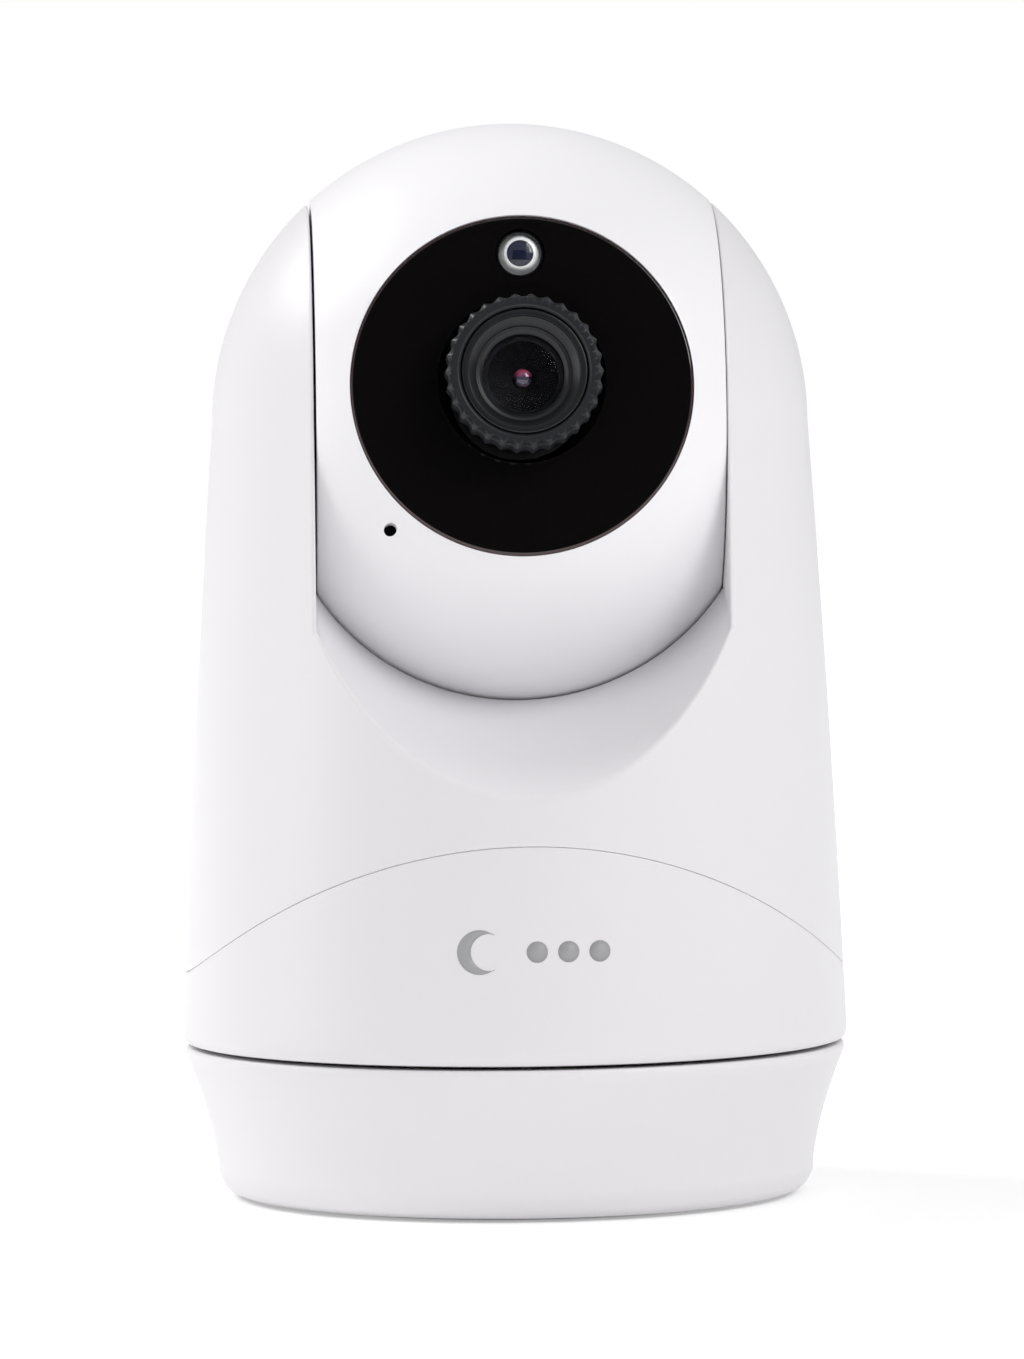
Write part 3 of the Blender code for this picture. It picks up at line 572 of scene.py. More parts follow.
def ramp_point(x, along):
    """A point on the trough in front of the head, a distance down its slope from the lip."""
    deep = RAMP_R - sqrt(RAMP_R**2 - x * x)
    forward = LIP_Y + along * cos(RAMP_SLOPE) + deep * sin(RAMP_SLOPE)
    height = LIP_Z - along * sin(RAMP_SLOPE) + deep * cos(RAMP_SLOPE)
    return Vector((x, -forward, height))


def lip_distance(x):
    """Where the trough leaves the body, by halving."""
    inside, outside = -25.0, 25.0
    for _ in range(40):
        middle = (inside + outside) / 2
        point = ramp_point(x, middle)
        if hypot(point.x, point.y) < body_radius(point.z):
            inside = middle
        else:
            outside = middle
    return inside


def ball_distance(x):
    """Where the trough meets the space round the ball."""
    outside, inside = 10.0, -30.0
    for _ in range(40):
        middle = (inside + outside) / 2
        point = ramp_point(x, middle) - Vector((0, 0, PIVOT_Z))
        if point.length < BALL_R + HEAD_GAP:
            inside = middle
        else:
            outside = middle
    return outside


def across():
    """x of the columns between the arms, a little closer together towards the corners."""
    return [SLOT_HALF * sin(t) / sin(0.85) for t in linear(-0.85, 0.85, COLUMNS_ACROSS)]


def cup(x, start, side):
    """Points under the ball, from an angle below its middle on round 12 degrees."""
    circle = sqrt((BALL_R + HEAD_GAP) ** 2 - x * x)
    turns = [start + radians(t) for t in (0, 3, 7, 12)]
    return [Vector((x, side * circle * cos(t), PIVOT_Z - circle * sin(t))) for t in turns]


def middle_column(x, side):
    """The skin from the arched seam up, the soft edge on top, and the way down under the ball."""
    if side < 0:
        lip_at, ball_at = lip_distance(x), ball_distance(x)
        corner = ramp_point(x, lip_at)
        inside = [ramp_point(x, s) for s in linear(lip_at - EDGE_R, ball_at, 11)]
        meet = inside[-1] - Vector((0, 0, PIVOT_Z))
        inside += cup(x, atan2(-meet.z, -meet.y), side)[1:]
    else:
        corner = skin(x, REAR_WALL_Z, side)
        circle = sqrt((BALL_R + HEAD_GAP) ** 2 - x * x)
        under = cup(x, asin((PIVOT_Z - REAR_WALL_Z) / circle), side)
        inside = [corner.lerp(under[0], share) for share in (0.35, 0.6, 0.8)] + under
    floor = arch_height(x, ARCH_R + SEAM / 2)
    top = corner.z - EDGE_R
    belly = [skin(x, floor + (top - floor) * share, side) for share in linear(0, 1, BELLY_ROWS)]
    return belly + bezier(belly[-1], corner, inside[0], EDGE_STEPS)[1:] + inside[1:], corner


def arm(sheet, column, corner, hand, side):
    """The arm's outer skin, the soft edge round the slot and the arm's flat inner cheek."""

    def outside(z, shift, floor_z=None):
        """A row round the taper at one height, from the slot's edge to the parting plane."""
        row = []
        for share in linear(0, 1, COLUMNS_ROUND):
            level = z if floor_z is None else floor_z(share)
            radius = body_radius(level)
            first = asin(SLOT_HALF / radius) + shift / radius
            turn = first + share * (pi / 2 - first)
            row.append(Vector((hand * radius * sin(turn), side * radius * cos(turn), level)))
        return row

    low_rows = []
    top = corner.z - EDGE_R
    for i, part in enumerate(linear(0, 1, BELLY_ROWS)):

        def level(share, part=part):
            """The row's height: a share of the way from the arched seam to the soft corner."""
            z = 30.0
            for _ in range(12):
                first = asin(SLOT_HALF / body_radius(z))
                turn = first + share * (pi / 2 - first)
                z = arch_height(body_radius(z) * sin(turn), ARCH_R + SEAM / 2)
            return z + (top - z) * part

        row = outside(0, 0, level)
        row[0] = column[i]
        low_rows.append(row)
    sheet.grid(low_rows)

    inner = column[BELLY_ROWS + EDGE_STEPS - 2]
    rows, edges = [], []
    for step in linear(0, pi / 2, 6)[1:]:
        row = outside(corner.z - EDGE_R * cos(step), EDGE_R * sin(step))
        rows.append(row)
        edges.append(bezier(inner, corner, row[0], EDGE_STEPS))
    for z in linear(corner.z, PIVOT_Z, 11)[1:]:
        row = outside(z, EDGE_R)
        edge = outside(z, 0)[0]
        rows.append(row)
        edges.append(bezier(edge - Vector((0, side * EDGE_R, 0)), edge, row[0], EDGE_STEPS))
    hub = Vector((hand * SLOT_HALF, 0, PIVOT_Z))
    round_r = sqrt(BALL_R**2 - SLOT_HALF**2)
    turns = linear(asin(SLOT_HALF / BALL_R) + EDGE_R / BALL_R, pi / 2, COLUMNS_ROUND)
    for rise in linear(0, pi / 2, 22)[1:]:
        up = Vector((0, side * cos(rise), sin(rise)))
        row = [Vector((hand * BALL_R * sin(t), 0, PIVOT_Z)) + up * BALL_R * cos(t) for t in turns]
        rows.append(row)
        edges.append(bezier(hub + up * (round_r - EDGE_R), hub + up * round_r, row[0], EDGE_STEPS))
    sheet.grid([low_rows[-1]] + rows)
    start = bezier(inner, corner, column[BELLY_ROWS - 1], EDGE_STEPS)
    sheet.grid([start] + edges)

    border = column[BELLY_ROWS + EDGE_STEPS - 2:-3][::-1] + [edge[0] for edge in edges[5:]]
    strip = [border]
    for reach in (22.5, 17.0):
        strip.append([hub + (p - hub).normalized() * min(reach, (p - hub).length - 1.5) for p in border])
    sheet.grid(strip)


def seam_width(middle):
    """A fine bevel along the arched seam and the parting plane, and none elsewhere."""
    radius = hypot(middle.x, middle.y)
    near_skin = radius > body_radius(middle.z) - 0.4
    parting = abs(middle.y) < 0.3 and radius > SLOT_HALF + 1.5
    near_seam = middle.z < arch_height(middle.x, ARCH_R) + 0.3 or parting
    return SEAM_BEVEL if near_skin and near_seam else 0.0


def upper_shell(name, side):
    """The front (-1) or rear (1) half of the turning body above the arched seam."""
    sheet = Sheet()
    columns = [middle_column(x, side) for x in across()]
    sheet.grid([list(row) for row in zip(*(column for column, _ in columns))])
    for hand, (column, corner) in ((-1, columns[0]), (1, columns[-1])):
        arm(sheet, column, corner, hand, side)
    thing = sheet.finish(f"upper_{name}", (0, side, 0))
    for vertex in thing.data.vertices:
        if abs(vertex.co.y) < SEAM / 2 * MM:
            vertex.co.y = side * SEAM / 2 * MM
    thicken(thing, ARM_WALL)
    soften(thing, seam_width, 2, 45)
    settle(thing)
    if side > 0:
        for node in ("rear_screw_left", "rear_screw_right"):
            screw_boss(thing, node)
    return dress(smooth(thing), WHITE, "turning_body", f"{name}_shell", slot="white_casing")


def screw_boss(thing, node):
    """A round boss behind the skin, and the sink in it for the screw's head."""
    centre = centre_of(node)
    place = Matrix.Translation((centre.x, 0, centre.z)) @ BACKWARD
    boss = rod(BOSS_R, 34, 21.0, 40, place)
    core = [(body_radius(z) - 0.25, z) for z in linear(centre.z + 8, centre.z - 8, 9)]
    cut(boss, turned("core", [(0, core[0][1]), *core, (0, core[-1][1])], 96), keep="INTERSECT")
    cut(thing, boss, keep="UNION")
    cut(thing, rod(SINK_R, 40, high(node).y - 1.3, 40, place))


def skirt():
    """The lower band of the turning body, with the speaker's slots behind."""
    sheet = Sheet()
    turns = [2 * pi * i / ROUND for i in range(ROUND)]
    bottom = BODY_BOTTOM_Z
    low_r = body_radius(BODY_FLARE_Z)
    foot = [(low_r - 4.0, bottom), (low_r - 0.9, bottom), (low_r - 0.38, bottom + 0.14)]
    foot += [(low_r - 0.12, bottom + 0.45), (low_r - 0.03, bottom + 0.9)]
    rows = [[(r * cos(t), r * sin(t), z) for t in turns] for r, z in foot]
    tops = []
    for t in turns:
        z = 30.0
        for _ in range(10):
            z = arch_height(body_radius(z) * cos(t), ARCH_R - SEAM / 2)
        tops.append(z)
    start = bottom + 1.5
    for share in linear(0, 1, 12):
        heights = [start + (top - start) * share for top in tops]
        rows.append([(body_radius(z) * cos(t), body_radius(z) * sin(t), z) for t, z in zip(turns, heights)])
    sheet.grid(rows, closed=True)
    thing = sheet.finish("skirt_band", (0, 0, -1))
    thicken(thing, WALL)
    soften(thing, SEAM_BEVEL, 2, 50)
    settle(thing)
    for z in SPEAKER_SLOT_LEVELS:
        cut(thing, slot_tool("slot", 16, 1.4, 14, Matrix.Translation((0, 37, z))))
    return dress(smooth(thing, 30), WHITE, "turning_body", "skirt_shell", slot="white_casing")


# ---------------------------------------------------------------- foot


def foot_radius(z):
    """The foot's S-shaped side, from the rim down to the waist."""
    share = max(0.0, (z - FOOT_WAIST_Z) / (FOOT_RIM_Z - FOOT_WAIST_Z))
    return FOOT_WAIST_R + (FOOT_TOP_R - FOOT_WAIST_R) * share**1.55


def foot():
    """The foot's casing, with the plug's pocket and the button's hole behind."""
    side = [(foot_radius(z), z) for z in linear(FOOT_RIM_Z, FOOT_WAIST_Z, 18)]
    top = [(FOOT_TOP_R - 2.6, FOOT_TOP_Z), (FOOT_TOP_R - 0.02, FOOT_TOP_Z), side[0]]
    well_r = COVER_R + 0.4
    under = [side[-1], (FOOT_WAIST_R - 0.75, 0.95), (FOOT_WAIST_R - 2.0, COVER_LOW), (well_r, COVER_LOW)]
    inside = [(well_r, 3.0), (31.9, 7.0), (33.0, 11.6), (9.3, 11.7), (9.3, 13.2), (33.4, 13.2)]
    profile = rounded(top, 0.8, 5, False) + side[1:-1] + rounded(under, 0.7, 4, False) + inside
    thing = turned("foot_casing", profile, ROUND)
    button = centre_of("pair_button")
    hole = rod(BUTTON_HOLE_R, 8, -6, 48, Matrix.Translation((button.x, 31, button.z)) @ BACKWARD)
    socket_z = (low("power_socket").z + high("power_socket").z) / 2
    cut(thing, block("pocket_walls", (-7.2, 25.6, socket_z - 4.6), (7.2, 33.6, socket_z + 3.8)), keep="UNION")
    pocket = Matrix.Translation((0, 33.5, socket_z - 0.4))
    cut(thing, slot_tool("pocket", 11.6, 5.8, 13, pocket, 1.4), hole)
    snug = Vector((0.1, 1.0, 0.1))
    cut(thing, block("inlet", low("power_socket") - snug, high("power_socket") + snug))
    return dress(smooth(thing, 30), FOOT_WHITE, "foot", "base_shell", slot="white_foot")


def underside():
    """The cover with its screw wells, the rubber ring and the brass insert."""
    ring_low, ring_high = low("foot_ring"), high("foot_ring")
    ring_out, ring_in = ring_high.x, ring_high.x - 5.0
    far, near, roof = ring_out + 0.3, ring_in - 0.3, 1.6
    groove = [(far, COVER_LOW), (far, roof), (near, roof), (near, COVER_LOW)]
    hole = high("tripod_insert").x + 0.3
    profile = [(COVER_R, COVER_HIGH), (COVER_R, COVER_LOW), *groove, (hole, COVER_LOW), (hole, COVER_HIGH)]
    cover = turned("foot_cover", rounded(profile, 0.25, 3), 192)
    for number in (1, 2, 3):
        screw = centre_of(f"bottom_screw_{number}")
        place = Matrix.Translation((screw.x, screw.y, 0))
        cut(cover, rod(2.5, 1.4, -1, 40, place), rod(1.4, 3, 0.9, 32, place))
    dress(smooth(cover, 30), FOOT_WHITE, "foot", "bottom_cover", slot="white_foot")
    pad = [(ring_out, ring_high.z), (ring_out, ring_low.z), (ring_in, ring_low.z), (ring_in, ring_high.z)]
    ring = turned("rubber_ring", rounded(pad, 0.4, 4), 192)
    dress(smooth(ring), RUBBER, "foot", "foot_ring", slot="rubber")
    tripod_insert_piece()


def tripod_insert_piece():
    """Brass insert: a flanged nut with a threaded bore drawn as rings of thread."""
    outer, bottom, top = high("tripod_insert").x, low("tripod_insert").z, high("tripod_insert").z
    thread = []
    pitch, root, crest = 1.27, 3.15, 2.95
    z = bottom + 0.5
    while z < top - 1.6:
        thread += [(root, z), (crest, z + pitch / 2)]
        z += pitch
    profile = [(0, top), (outer - 1, top), (outer - 1, bottom + 2.5), (outer, bottom + 2.3), (outer, bottom)]
    profile += [(3.5, bottom), *thread, (root, top - 1.2), (0, top - 1.2)]
    thing = turned("brass_insert", rounded(profile, 0.12, 2, False), 72)
    dress(smooth(thing, 25), BRASS, "foot", "tripod_insert", slot="brass")


def screws():
    """Cross-recessed screw heads and their shanks."""
    for number in (1, 2, 3):
        node = f"bottom_screw_{number}"
        centre = centre_of(node)
        place = Matrix.Translation((centre.x, centre.y, low(node).z)) @ Matrix.Rotation(pi, 4, "X")
        screw_piece(f"cover_screw_{number}", place, 0.6, high(node).z - low(node).z, "foot", node)
    for side in ("left", "right"):
        node = f"rear_screw_{side}"
        centre, back = centre_of(node), high(node).y
        place = Matrix.Translation((centre.x, back, centre.z)) @ BACKWARD
        screw_piece(f"body_screw_{side}", place, 1.2, back - low(node).y, "turning_body", node)


def screw_piece(name, place, head, length, body, node):
    """A pan head with its top at height 0 and a threaded shank below."""
    shank = []
    z = -head
    while z > -length + 1.2:
        shank += [(0.95, z), (0.78, z - 0.35)]
        z -= 0.7
    profile = [(0, 0), (1.5, -0.02), (2.05, -0.22), (2.1, -head), *shank, (0.5, -length), (0, -length)]
    thing = turned(name, profile, 40, place)
    for angle in (0, pi / 2):
        turn = place @ Matrix.Rotation(angle, 4, "Z")
        cut(thing, block("cross", (-1.15, -0.22, -0.45), (1.15, 0.22, 0.5), turn))
    dress(smooth(thing, 30), STEEL, body, node, slot="steel")


def rear_fittings():
    """The pair button and the power socket."""
    centre = centre_of("pair_button")
    back, front = low("pair_button").y, high("pair_button").y
    flange_r, key_r = 3.05, 2.55
    profile = [(0, front - 0.35), (key_r, front), (key_r, back + 1.0)]
    profile += [(flange_r, back + 0.95), (flange_r, back), (0, back)]
    profile = rounded(profile, [0, 0.5, 0, 0.1, 0.1, 0], 4, False)
    button = turned("pair_key", profile, 64, Matrix.Translation((centre.x, 0, centre.z)) @ BACKWARD)
    dress(smooth(button), INNER, "pair_button", "pair_button", slot="inner_plastic")
    a, b = low("power_socket"), high("power_socket")
    socket = block("power_inlet", a, b, edge=0.3)
    settle(socket)
    mouth = Matrix.Translation((0, b.y, (a.z + b.z) / 2))
    cut(socket, slot_tool("mouth", 6.9, 1.9, 8.4, mouth, 0.6))
    dress(smooth(socket, 30), TINNED, "foot", "power_socket", slot="tinned_shield")


# ---------------------------------------------------------------- head


def polar(angle, turn, radius=None):
    """A point on the ball: an angle from the lens axis (-Y) and a turn about it."""
    size = BALL_R if radius is None else radius
    return Vector((size * sin(angle) * cos(turn), -size * cos(angle), size * sin(angle) * sin(turn)))


def seat_row(radius, forward=None):
    """Points round the window's seat, on the ball or at a distance in front of the pivot."""
    row = []
    for t in linear(0, 2 * pi, len(head_turns()) + 1)[:-1]:
        x, z = radius * cos(t), radius * sin(t) - WINDOW_DROP
        y = sqrt(BALL_R**2 - x * x - z * z) if forward is None else forward
        row.append(Vector((x, -y, z)))
    return row


def head_turns():
    """Turns of the outer rim's points about the lens axis, evenly spaced along the rim."""
    upper = []
    for cheek in (HEAD_RIGHT, HEAD_LEFT):
        round_r = sqrt(BALL_R**2 - cheek**2)
        side = [atan2(round_r * sin(t), cheek) for t in linear(0, pi / 2, 31)]
        quarter = side + linear(side[-1], pi / 2, 21)[1:]
        upper += quarter if cheek is HEAD_RIGHT else [pi - t for t in quarter[-2::-1]]
    return upper + [2 * pi - t for t in upper[-2:0:-1]]


def head_front():
    """The ball's front: from the window's seat out to the flat cheeks and the parting plane."""
    sheet = Sheet()
    last = pi / 2 - (SEAM / 2) / BALL_R
    seat_r, seat_y = WINDOW_R + SEAT_GAP, WINDOW_Y - WINDOW_THICK - 0.1
    first = seat_row(seat_r)
    columns = []
    for point, t in zip(first, head_turns()):
        begin, turn = acos(-point.y / BALL_R), atan2(point.z, point.x)
        turn += 2 * pi * round((t - turn) / (2 * pi))
        cheek = HEAD_RIGHT if cos(t) > 0 else HEAD_LEFT
        reach = cheek / (BALL_R * max(abs(cos(t)), 1e-6))
        end = min(last, asin(min(1.0, reach)))
        corner = polar(end, t)
        edge = HEAD_EDGE if end < last else 0.1
        edge = min(edge, 0.1 + 0.2 * abs(corner.y))
        near = end - edge / BALL_R
        middle = Vector((corner.x, 0, 0)) if end < last else Vector((0, corner.y, 0))
        inward = corner + (middle - corner).normalized() * edge
        column = [polar(begin + (near - begin) * k, turn + (t - turn) * k) for k in linear(0, 1, 22)]
        columns.append(column + bezier(column[-1], corner, inward, 5)[1:])
    rows = [list(row) for row in zip(*columns)]
    rows[0] = first
    sheet.grid(rows, closed=True)
    sheet.grid([first, seat_row(seat_r, seat_y), seat_row(seat_r - 1.6, seat_y)], closed=True)
    for cheek in (-HEAD_LEFT, HEAD_RIGHT):
        border = [p for p in rows[-1] if abs(p.x - cheek) < 0.01]
        border.sort(key=lambda p: p.z)
        inner = [Vector((p.x, p.y * 0.72, p.z * 0.72)) for p in border]
        for p in (inner[0], inner[-1]):
            p.y = border[0].y
        sheet.grid([border, inner])
    thing = sheet.finish("head_front", (0, -1, 0))
    thicken(thing, WALL)
    soften(thing, 0.08, 2, 60)
    settle(thing)
    hole = Matrix.Translation((MIC_X, 0, MIC_Z)) @ FORWARD
    cut(thing, rod(MIC_R, 40, 18, 32, hole))
    placed(thing, HEAD)
    return dress(smooth(thing, 40), HEAD_WHITE_PAINTED_LIGHT, "head", "head_front_shell", slot="white_casing")


def head_rear():
    """The ball's back, cut flat at both cheeks."""
    sheet = Sheet()
    edge = asin((SEAM / 2) / BALL_R)
    turns = linear(-pi / 2 + edge, pi / 2 - edge, 73)

    def circle(x, shrink=0.0):
        radius = sqrt(BALL_R**2 - x * x) - shrink
        return [Vector((x, radius * cos(t), radius * sin(t))) for t in turns]

    left, right = asin(HEAD_LEFT / BALL_R), asin(HEAD_RIGHT / BALL_R)
    soft = HEAD_EDGE / BALL_R
    rows = [circle(BALL_R * sin(t)) for t in linear(-left + soft, right - soft, 45)]
    ends = []
    for cheek, row in ((-HEAD_LEFT, rows[0]), (HEAD_RIGHT, rows[-1])):
        corners = zip(row, circle(cheek), circle(cheek, HEAD_EDGE))
        fillet = zip(*(bezier(a, b, c, 5) for a, b, c in corners))
        inner = [Vector((p.x, max(p.y * 0.72, row[0].y), p.z * 0.72)) for p in circle(cheek)]
        ends.append([list(points) for points in fillet][1:] + [inner])
    sheet.grid(ends[0][::-1] + rows + ends[1])
    thing = sheet.finish("head_rear", (-1, 0, 0))
    thicken(thing, WALL)
    soften(thing, 0.08, 2, 60)
    settle(thing)
    placed(thing, HEAD)
    return dress(smooth(thing, 40), HEAD_WHITE_PAINTED_LIGHT, "head", "head_rear_shell", slot="white_casing")


def window():
    """The black cover plate with its lens hole and the light sensor's hole."""
    front, back = WINDOW_Y, WINDOW_Y - WINDOW_THICK
    plate = [(0, front), (WINDOW_R, front), (WINDOW_R, back), (0, back)]
    lowered = Matrix.Translation((0, 0, -WINDOW_DROP)) @ FORWARD
    thing = turned("front_window", rounded(plate, [0, 0.32, 0.1, 0], 6), 256, lowered)
    up = Matrix.Translation((0, 0, SENSOR_UP)) @ FORWARD
    lens_hole = rod(WINDOW_HOLE_R, front + 3, back - 3, 128, FORWARD)
    cut(thing, lens_hole, rod(SENSOR_HOLE_R, front + 3, back - 3, 64, up))
    placed(thing, HEAD)
    dress(smooth(thing, 30), window_material(), "head", "window", slot="black_window")


def light_sensor():
    """A clear dome in a dark seat, over a ring painted bright white in place of its chrome's reflections,
    with a dark chip in its middle.
    """
    at = HEAD @ Matrix.Translation((0, 0, SENSOR_UP)) @ FORWARD
    face = WINDOW_Y + 0.2
    dome_r, seat_r, chip_r = 2.3, SENSOR_HOLE_R + 0.3, 1.38
    seat = [(2.36, face - 0.5), (seat_r, face - 1.6), (seat_r, 24.4), (0, 24.4), (0, 24.7), (2.36, 24.7)]
    holder = turned("sensor_seat", rounded(seat, [0.1, 0, 0, 0, 0, 0], 3), 72, at)
    dress(smooth(holder), BLACK, "head", slot="black_plastic")
    # The reflector is white and not metallic, so its brightness is painted reflection.
    ring = [(chip_r, face - 0.55), (1.42, face - 0.25), (1.7, face - 0.35), (1.8, face - 0.7)]
    ring += [(1.8, 25.0), (chip_r, 25.0)]
    reflector = turned("sensor_reflector", rounded(ring, [0.05, 0.08, 0.12, 0.1, 0, 0], 3), 72, at)
    dress(smooth(reflector), REFLECTOR_PAINTED_WHITE, "head", "sensor_cup", slot="chrome")
    profile = [(0, face - 0.35), (1.0, face - 0.42), (chip_r, face - 0.6), (chip_r, 25.2), (0, 25.2)]
    chip = turned("sensor_chip", profile, 48, at)
    coating = dark_coating("sensor_coating", (0.003, 0.006, 0.025), 0.1, Specular_IOR_Level=0.2)
    dress(smooth(chip), coating, "head", slot="black_plastic")
    profile = [(dome_r * sin(t), face - 0.75 + 1.05 * cos(t)) for t in linear(0, pi / 2, 16)]
    profile += [(dome_r, 24.75), (0, 24.75)]
    dome = turned("sensor_dome", profile, 72, at)
    epoxy = clear_material("sensor_epoxy", (0.98, 0.985, 0.99))
    dress(smooth(dome), epoxy, "head", "light_sensor", slot="clear_lens")
    dome.visible_shadow = False


def lens():
    """The knurled ring, the stepped barrel and the glass."""
    focus_ring()
    front = RING_FRONT - 0.35
    barrel(front)
    lens_glass(front)


def focus_ring():
    """The knurled ring."""
    face, back = RING_FRONT, RING_FRONT - 3.6
    profile = [(7.2, face), (8.05, face), (RING_R, face - 0.75), (RING_R, face - 3.3), (RING_R - 0.3, back)]
    profile += [(7.6, back), (7.6, face - 4.4), (6.95, face - 4.8), (6.95, face - 0.3)]
    profile = rounded(profile, [0.1, 0.08, 0.2, 0.2, 0.1, 0, 0, 0, 0.08], 4)

    def fluted(turn, radius, height):
        """Scallops that fade out on the ring's flat face."""
        share = min(1.0, max(0.0, (radius - 7.95) / 0.25))
        return radius - SCALLOP_DEPTH * share * abs(sin(turn * SCALLOPS / 2)) ** 1.4

    ring = turned("focus_ring", profile, SCALLOPS * 16, HEAD @ FORWARD, fluted)
    dress(smooth(ring, 50), RING_BLACK, "lens", "lens_ring", slot="lens_black")


def barrel(front):
    """The tube, whose mouth steps down to the glass."""
    mouth = [(6.1, front), (6.1, front - 0.55), (6.0, front - 0.6), (5.2, front - 1.3), (5.2, front - 1.8)]
    mouth += [(4.85, front - 1.85), (4.4, front - 2.2), (GLASS_R + 0.02, front - 3.1), (2.6, front - 4.2)]
    mouth += [(1.05, front - 4.8)]
    outside = [(6.9, front - 0.25), (6.9, 21.0), (5.9, 21.0), (5.9, 12.0), (1.05, 12.0)]
    radii = [0.12] + [0.1] * len(outside) + [0.06] * len(mouth)
    profile = rounded([(6.75, front), *outside, *mouth[::-1]], radii, 3)
    tube = turned("lens_tube", profile, 160, HEAD @ FORWARD)
    dress(smooth(tube, 30), BARREL_BLACK, "lens", "lens_barrel", slot="lens_black")


def lens_glass(front):
    """The matt throat, near-black partly as its own baffle and partly as painted shade, the front element
    over it and the small bright element at its end, coloured with painted reflections.
    """
    # A near-black skin just in front of the barrel's cone: partly the baffle's own black, partly painted
    # shade of the deep throat.
    profile = [(GLASS_R, front - 3.15), (2.6, front - 4.1), (1.05, front - 4.7), (1.05, front - 5.2)]
    profile += [(2.7, front - 4.6), (GLASS_R, front - 3.6)]
    throat = turned("lens_throat", profile, 96, HEAD @ FORWARD)
    matt = moulded("throat_black_and_painted_shade", (0.0015, 0.0015, 0.002), 1.3, 0.6, Specular_IOR_Level=0.08)
    dress(smooth(throat, 50), matt, "lens", slot="lens_black")

    sag, base = 0.75, front - 2.95
    profile = [(GLASS_R * t, base + sag * (1 - t * t)) for t in linear(0, 1, 12)]
    profile += [(GLASS_R, base - 0.25), (0, base - 0.25)]
    glass = turned("front_element", profile, 96, HEAD @ FORWARD)
    coated = clear_material("coated_glass", (0.8, 0.8, 0.86), 1.085)
    dress(smooth(glass), coated, "lens", "front_glass", slot="lens_glass")
    glass.visible_shadow = False

    seat = front - 4.62
    profile = [(PUPIL_R * sin(t), seat + 0.6 * cos(t)) for t in linear(0, pi / 2, 12)]
    profile += [(PUPIL_R, seat - 0.1), (0, seat - 0.1)]
    pupil = turned("inner_element", profile, 48, HEAD @ FORWARD)
    dress(smooth(pupil), pupil_material(seat), "lens", slot="lens_glass")


def emblem():
    """A plain moon and three dots on the skirt, printed a few hundredths proud."""

    def on_skirt(outline, lift):
        points = []
        for x, z in outline:
            radius = body_radius(EMBLEM_Z + z) + lift
            points.append(Vector((x, -sqrt(radius**2 - x * x), EMBLEM_Z + z)))
        return points

    def raised(outline):
        return on_skirt(outline, EMBLEM_SUNK), on_skirt(outline, EMBLEM_PROUD)

    sheet = Sheet()
    outer = [(2.4 * cos(t) - 5.6, 2.4 * sin(t)) for t in linear(radians(50), radians(310), 40)]
    inner = [(2.0 * cos(t) - 4.55, 2.0 * sin(t)) for t in linear(radians(75), radians(285), 30)]
    inner = [inner[round(i * (len(inner) - 1) / (len(outer) - 1))] for i in range(len(outer))]
    sheet.grid([*raised(outer), *raised(inner)[::-1]])
    for x in (0.6, 4.0, 7.4):
        dot = [(x + 1.15 * cos(t), 1.15 * sin(t)) for t in linear(0, 2 * pi, 33)[:-1]]
        middle = on_skirt([(x, 0)] * len(dot), EMBLEM_PROUD)
        sheet.grid([middle, *raised(dot)[::-1]], closed=True)
    thing = sheet.finish("moon_emblem", (0, -1, 0))
    thing.data.shade_smooth()
    dress(thing, EMBLEM, "turning_body", slot="inner_plastic")


# ---------------------------------------------------------------- carried-over CAD nodes


def dress_cad():
    """Better materials on the inner CAD nodes, which stay as they are."""
    looks = {
        STEEL: ["ballast_plate", "pan_retainer", "pan_motor", "tilt_motor"]
        + ["pan_motor_shaft", "tilt_motor_shaft"],
        ACETAL: ["pan_gear", "pan_bush", "pan_pinion", "tilt_gear", "tilt_pinion"]
        + [f"tilt_{part}_{side}" for part in ("axle", "bush") for side in ("left", "right")],
        CIRCUIT: ["power_board", "main_board", "sensor_board", "lamp_board", "antenna"],
        TINNED: ["processor_shield", "radio_module"],
        BLACK: ["pair_switch", "speaker", "temperature_sensor", "microphone", "image_sensor", "lens_mount"],
        INNER: ["pan_chassis"],
        RUBBER: ["speaker_gasket"],
        CABLE: ["hub_cable", "tilt_cable"],
        CLEAR: [f"infrared_lamp_{number}" for number in range(1, 7)],
    }
    for look, nodes in looks.items():
        for node in nodes:
            mesh = frame["nodes"][node].data
            mesh.materials.clear()
            mesh.materials.append(look)


# ---------------------------------------------------------------- stage


def softbox(name, azimuth, elevation, power, size=0.5, away=1.0):
    """A square light that faces the object from a direction in degrees. Azimuth 0 is in front."""
    lamp = bpy.data.lights.new(name, "AREA")
    lamp.size = size
    lamp.energy = power
    thing = linked(name, lamp)
    turn, rise = radians(azimuth), radians(elevation)
    toward = Vector((sin(turn) * cos(rise), -cos(turn) * cos(rise), sin(rise)))
    thing.location = Vector((0, 0, 0.07)) + toward * away
    thing.rotation_euler = toward.to_track_quat("Z", "Y").to_euler()


def staged(thing, look, unseen_by=()):
    """Gives a piece of the stage its material, and hides it from some kinds of ray."""
    thing.data.materials.append(look)
    for kind in unseen_by:
        setattr(thing, f"visible_{kind}", False)


def card(name, corners):
    """A flat card with four corners, in metres."""
    mesh = bpy.data.meshes.new(name)
    mesh.from_pydata(corners, [], [(0, 1, 2, 3)])
    return linked(name, mesh)


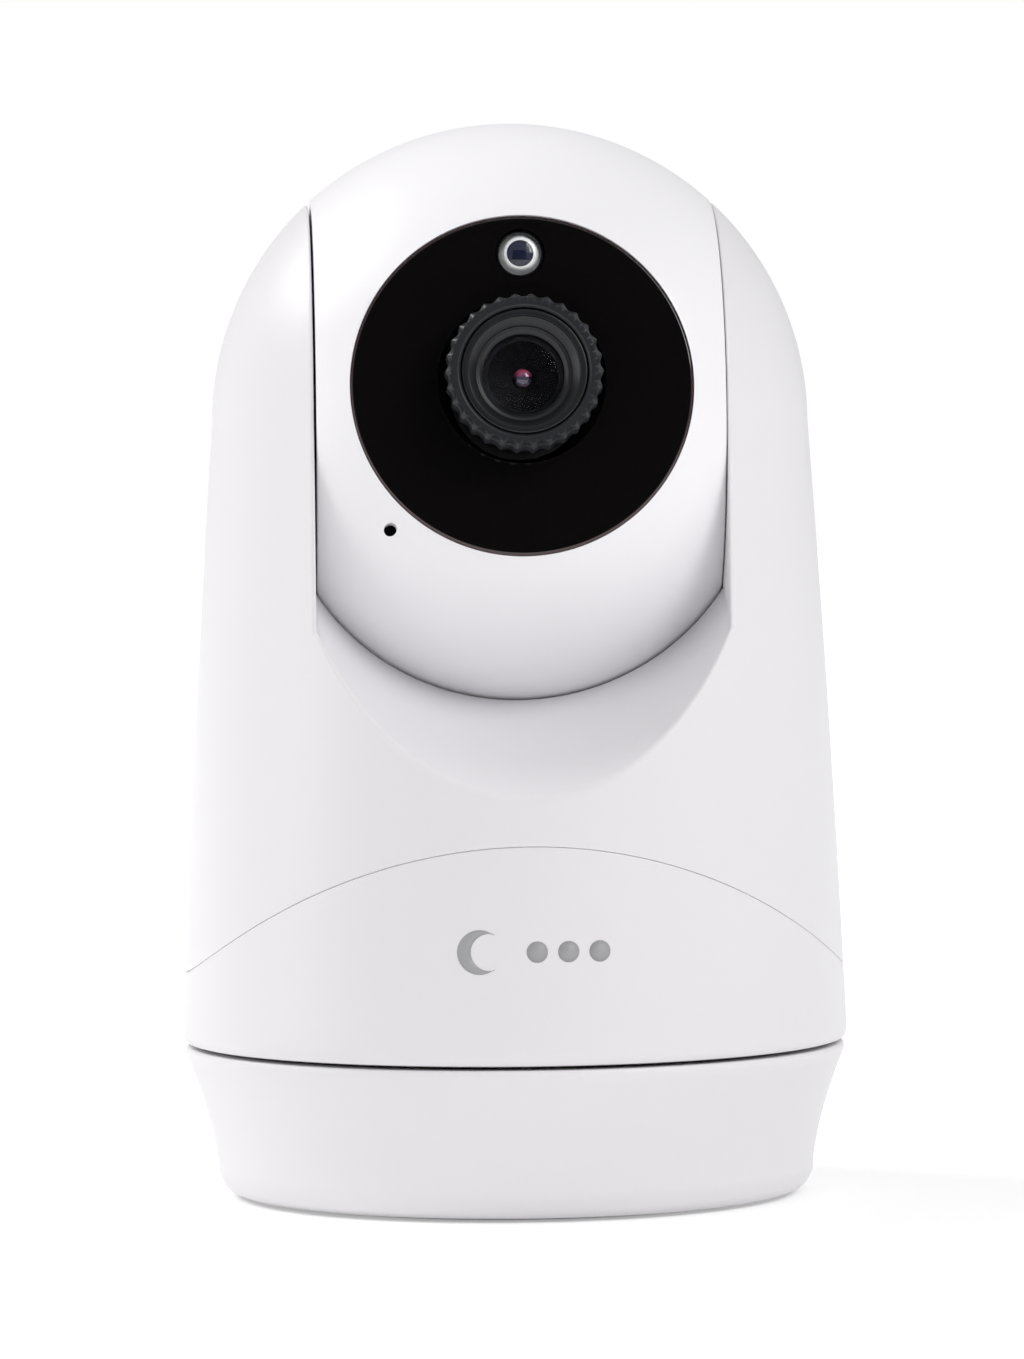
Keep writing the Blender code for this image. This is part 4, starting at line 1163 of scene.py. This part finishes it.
def studio_plane(name, height, albedo, unseen_by):
    thing = card(name, [(-9, -9, height), (9, -9, height), (9, 9, height), (-9, 9, height)])
    look, tree, shader = principled(f"{name}_paper", (albedo,) * 3, 0.9, Specular_IOR_Level=0.1)
    paper = blend_colors(tree, noise(tree, 0.02, 2.0), (albedo - 0.01,) * 3, (albedo + 0.01,) * 3)
    tree.links.new(paper, shader.inputs["Base Color"])
    staged(thing, look, unseen_by)
    return tree, shader


def floor():
    """White paper that the camera sees, which glows more further out, where the lamps don't reach,
    and below it the paper that sends light back up, so that the glow doesn't light the object."""
    tree, shader = studio_plane("studio_floor", 0.0, 0.86, ("diffuse", "shadow"))
    shader.inputs["Emission Color"].default_value = (1, 1, 1, 1)
    glow = mapped(tree, distance_from(tree, (0, 0, 0)), (0.2, 1.2), (0.3, 0.7))
    tree.links.new(glow, shader.inputs["Emission Strength"])
    studio_plane("studio_bounce", -0.0005, 0.97, ("camera",))


def backdrop():
    """A white dome that only the camera sees, so that it adds no light of its own."""
    shape = bmesh.new()
    bmesh.ops.create_uvsphere(shape, u_segments=48, v_segments=24, radius=6)
    look, _, shader = principled("dome_white", (0, 0, 0), 1.0, Specular_IOR_Level=0.0)
    shader.inputs["Emission Color"].default_value = (1, 1, 1, 1)
    shader.inputs["Emission Strength"].default_value = 1.0
    dome = shaped("studio_dome", shape)
    staged(dome, look, ("diffuse", "glossy", "transmission", "shadow", "volume_scatter"))


def black_flag():
    """A black card in front and above that the camera doesn't see, so the window mirrors darkness."""
    flag = card("studio_flag", [(-0.4, 0, -0.26), (0.4, 0, -0.26), (0.4, 0, 0.26), (-0.4, 0, 0.26)])
    flag.location = (0, -1.2, 0.42)
    look, _, _ = principled("flag_black", (0, 0, 0), 1.0, Specular_IOR_Level=0.0)
    staged(flag, look, ("camera", "transmission", "shadow", "volume_scatter"))


def stage():
    """The floor, the dome, the lamps and the card that the window mirrors."""
    floor()
    backdrop()
    world = bpy.data.worlds.new("studio")
    bpy.context.scene.world = world
    world.use_nodes = True
    background = world.node_tree.nodes["Background"]
    background.inputs["Color"].default_value = (1, 1, 1, 1)
    background.inputs["Strength"].default_value = 0.53
    softbox("key", -112, 42, 4.6)
    softbox("fill", 45, 35, 4.0)
    softbox("left", -80, 8, 1.35)
    black_flag()
    bpy.context.scene.view_settings.view_transform = "Standard"


def camera():
    """Nearly level with the head's middle, a little to the object's own right, looking slightly down."""
    distance, height, azimuth, aim_z = 0.730, 0.081, radians(-2.9), 0.058
    optics = bpy.data.cameras.new("camera")
    optics.sensor_fit = "VERTICAL"
    optics.sensor_height = 36.0
    optics.lens = 171.0
    thing = linked("camera", optics)
    thing.location = (distance * sin(azimuth), -distance * cos(azimuth), height)
    aim = Vector((0, 0, aim_z)) - thing.location
    turn = aim.to_track_quat("-Z", "Y").to_matrix().to_4x4() @ Matrix.Rotation(radians(-0.5), 4, "Z")
    thing.rotation_euler = turn.to_euler()
    bpy.context.scene.camera = thing


camera()
stage()
foot()
underside()
screws()
skirt()
upper_shell("front", -1)
upper_shell("rear", 1)
rear_fittings()
head_front()
head_rear()
window()
light_sensor()
lens()
emblem()
dress_cad()
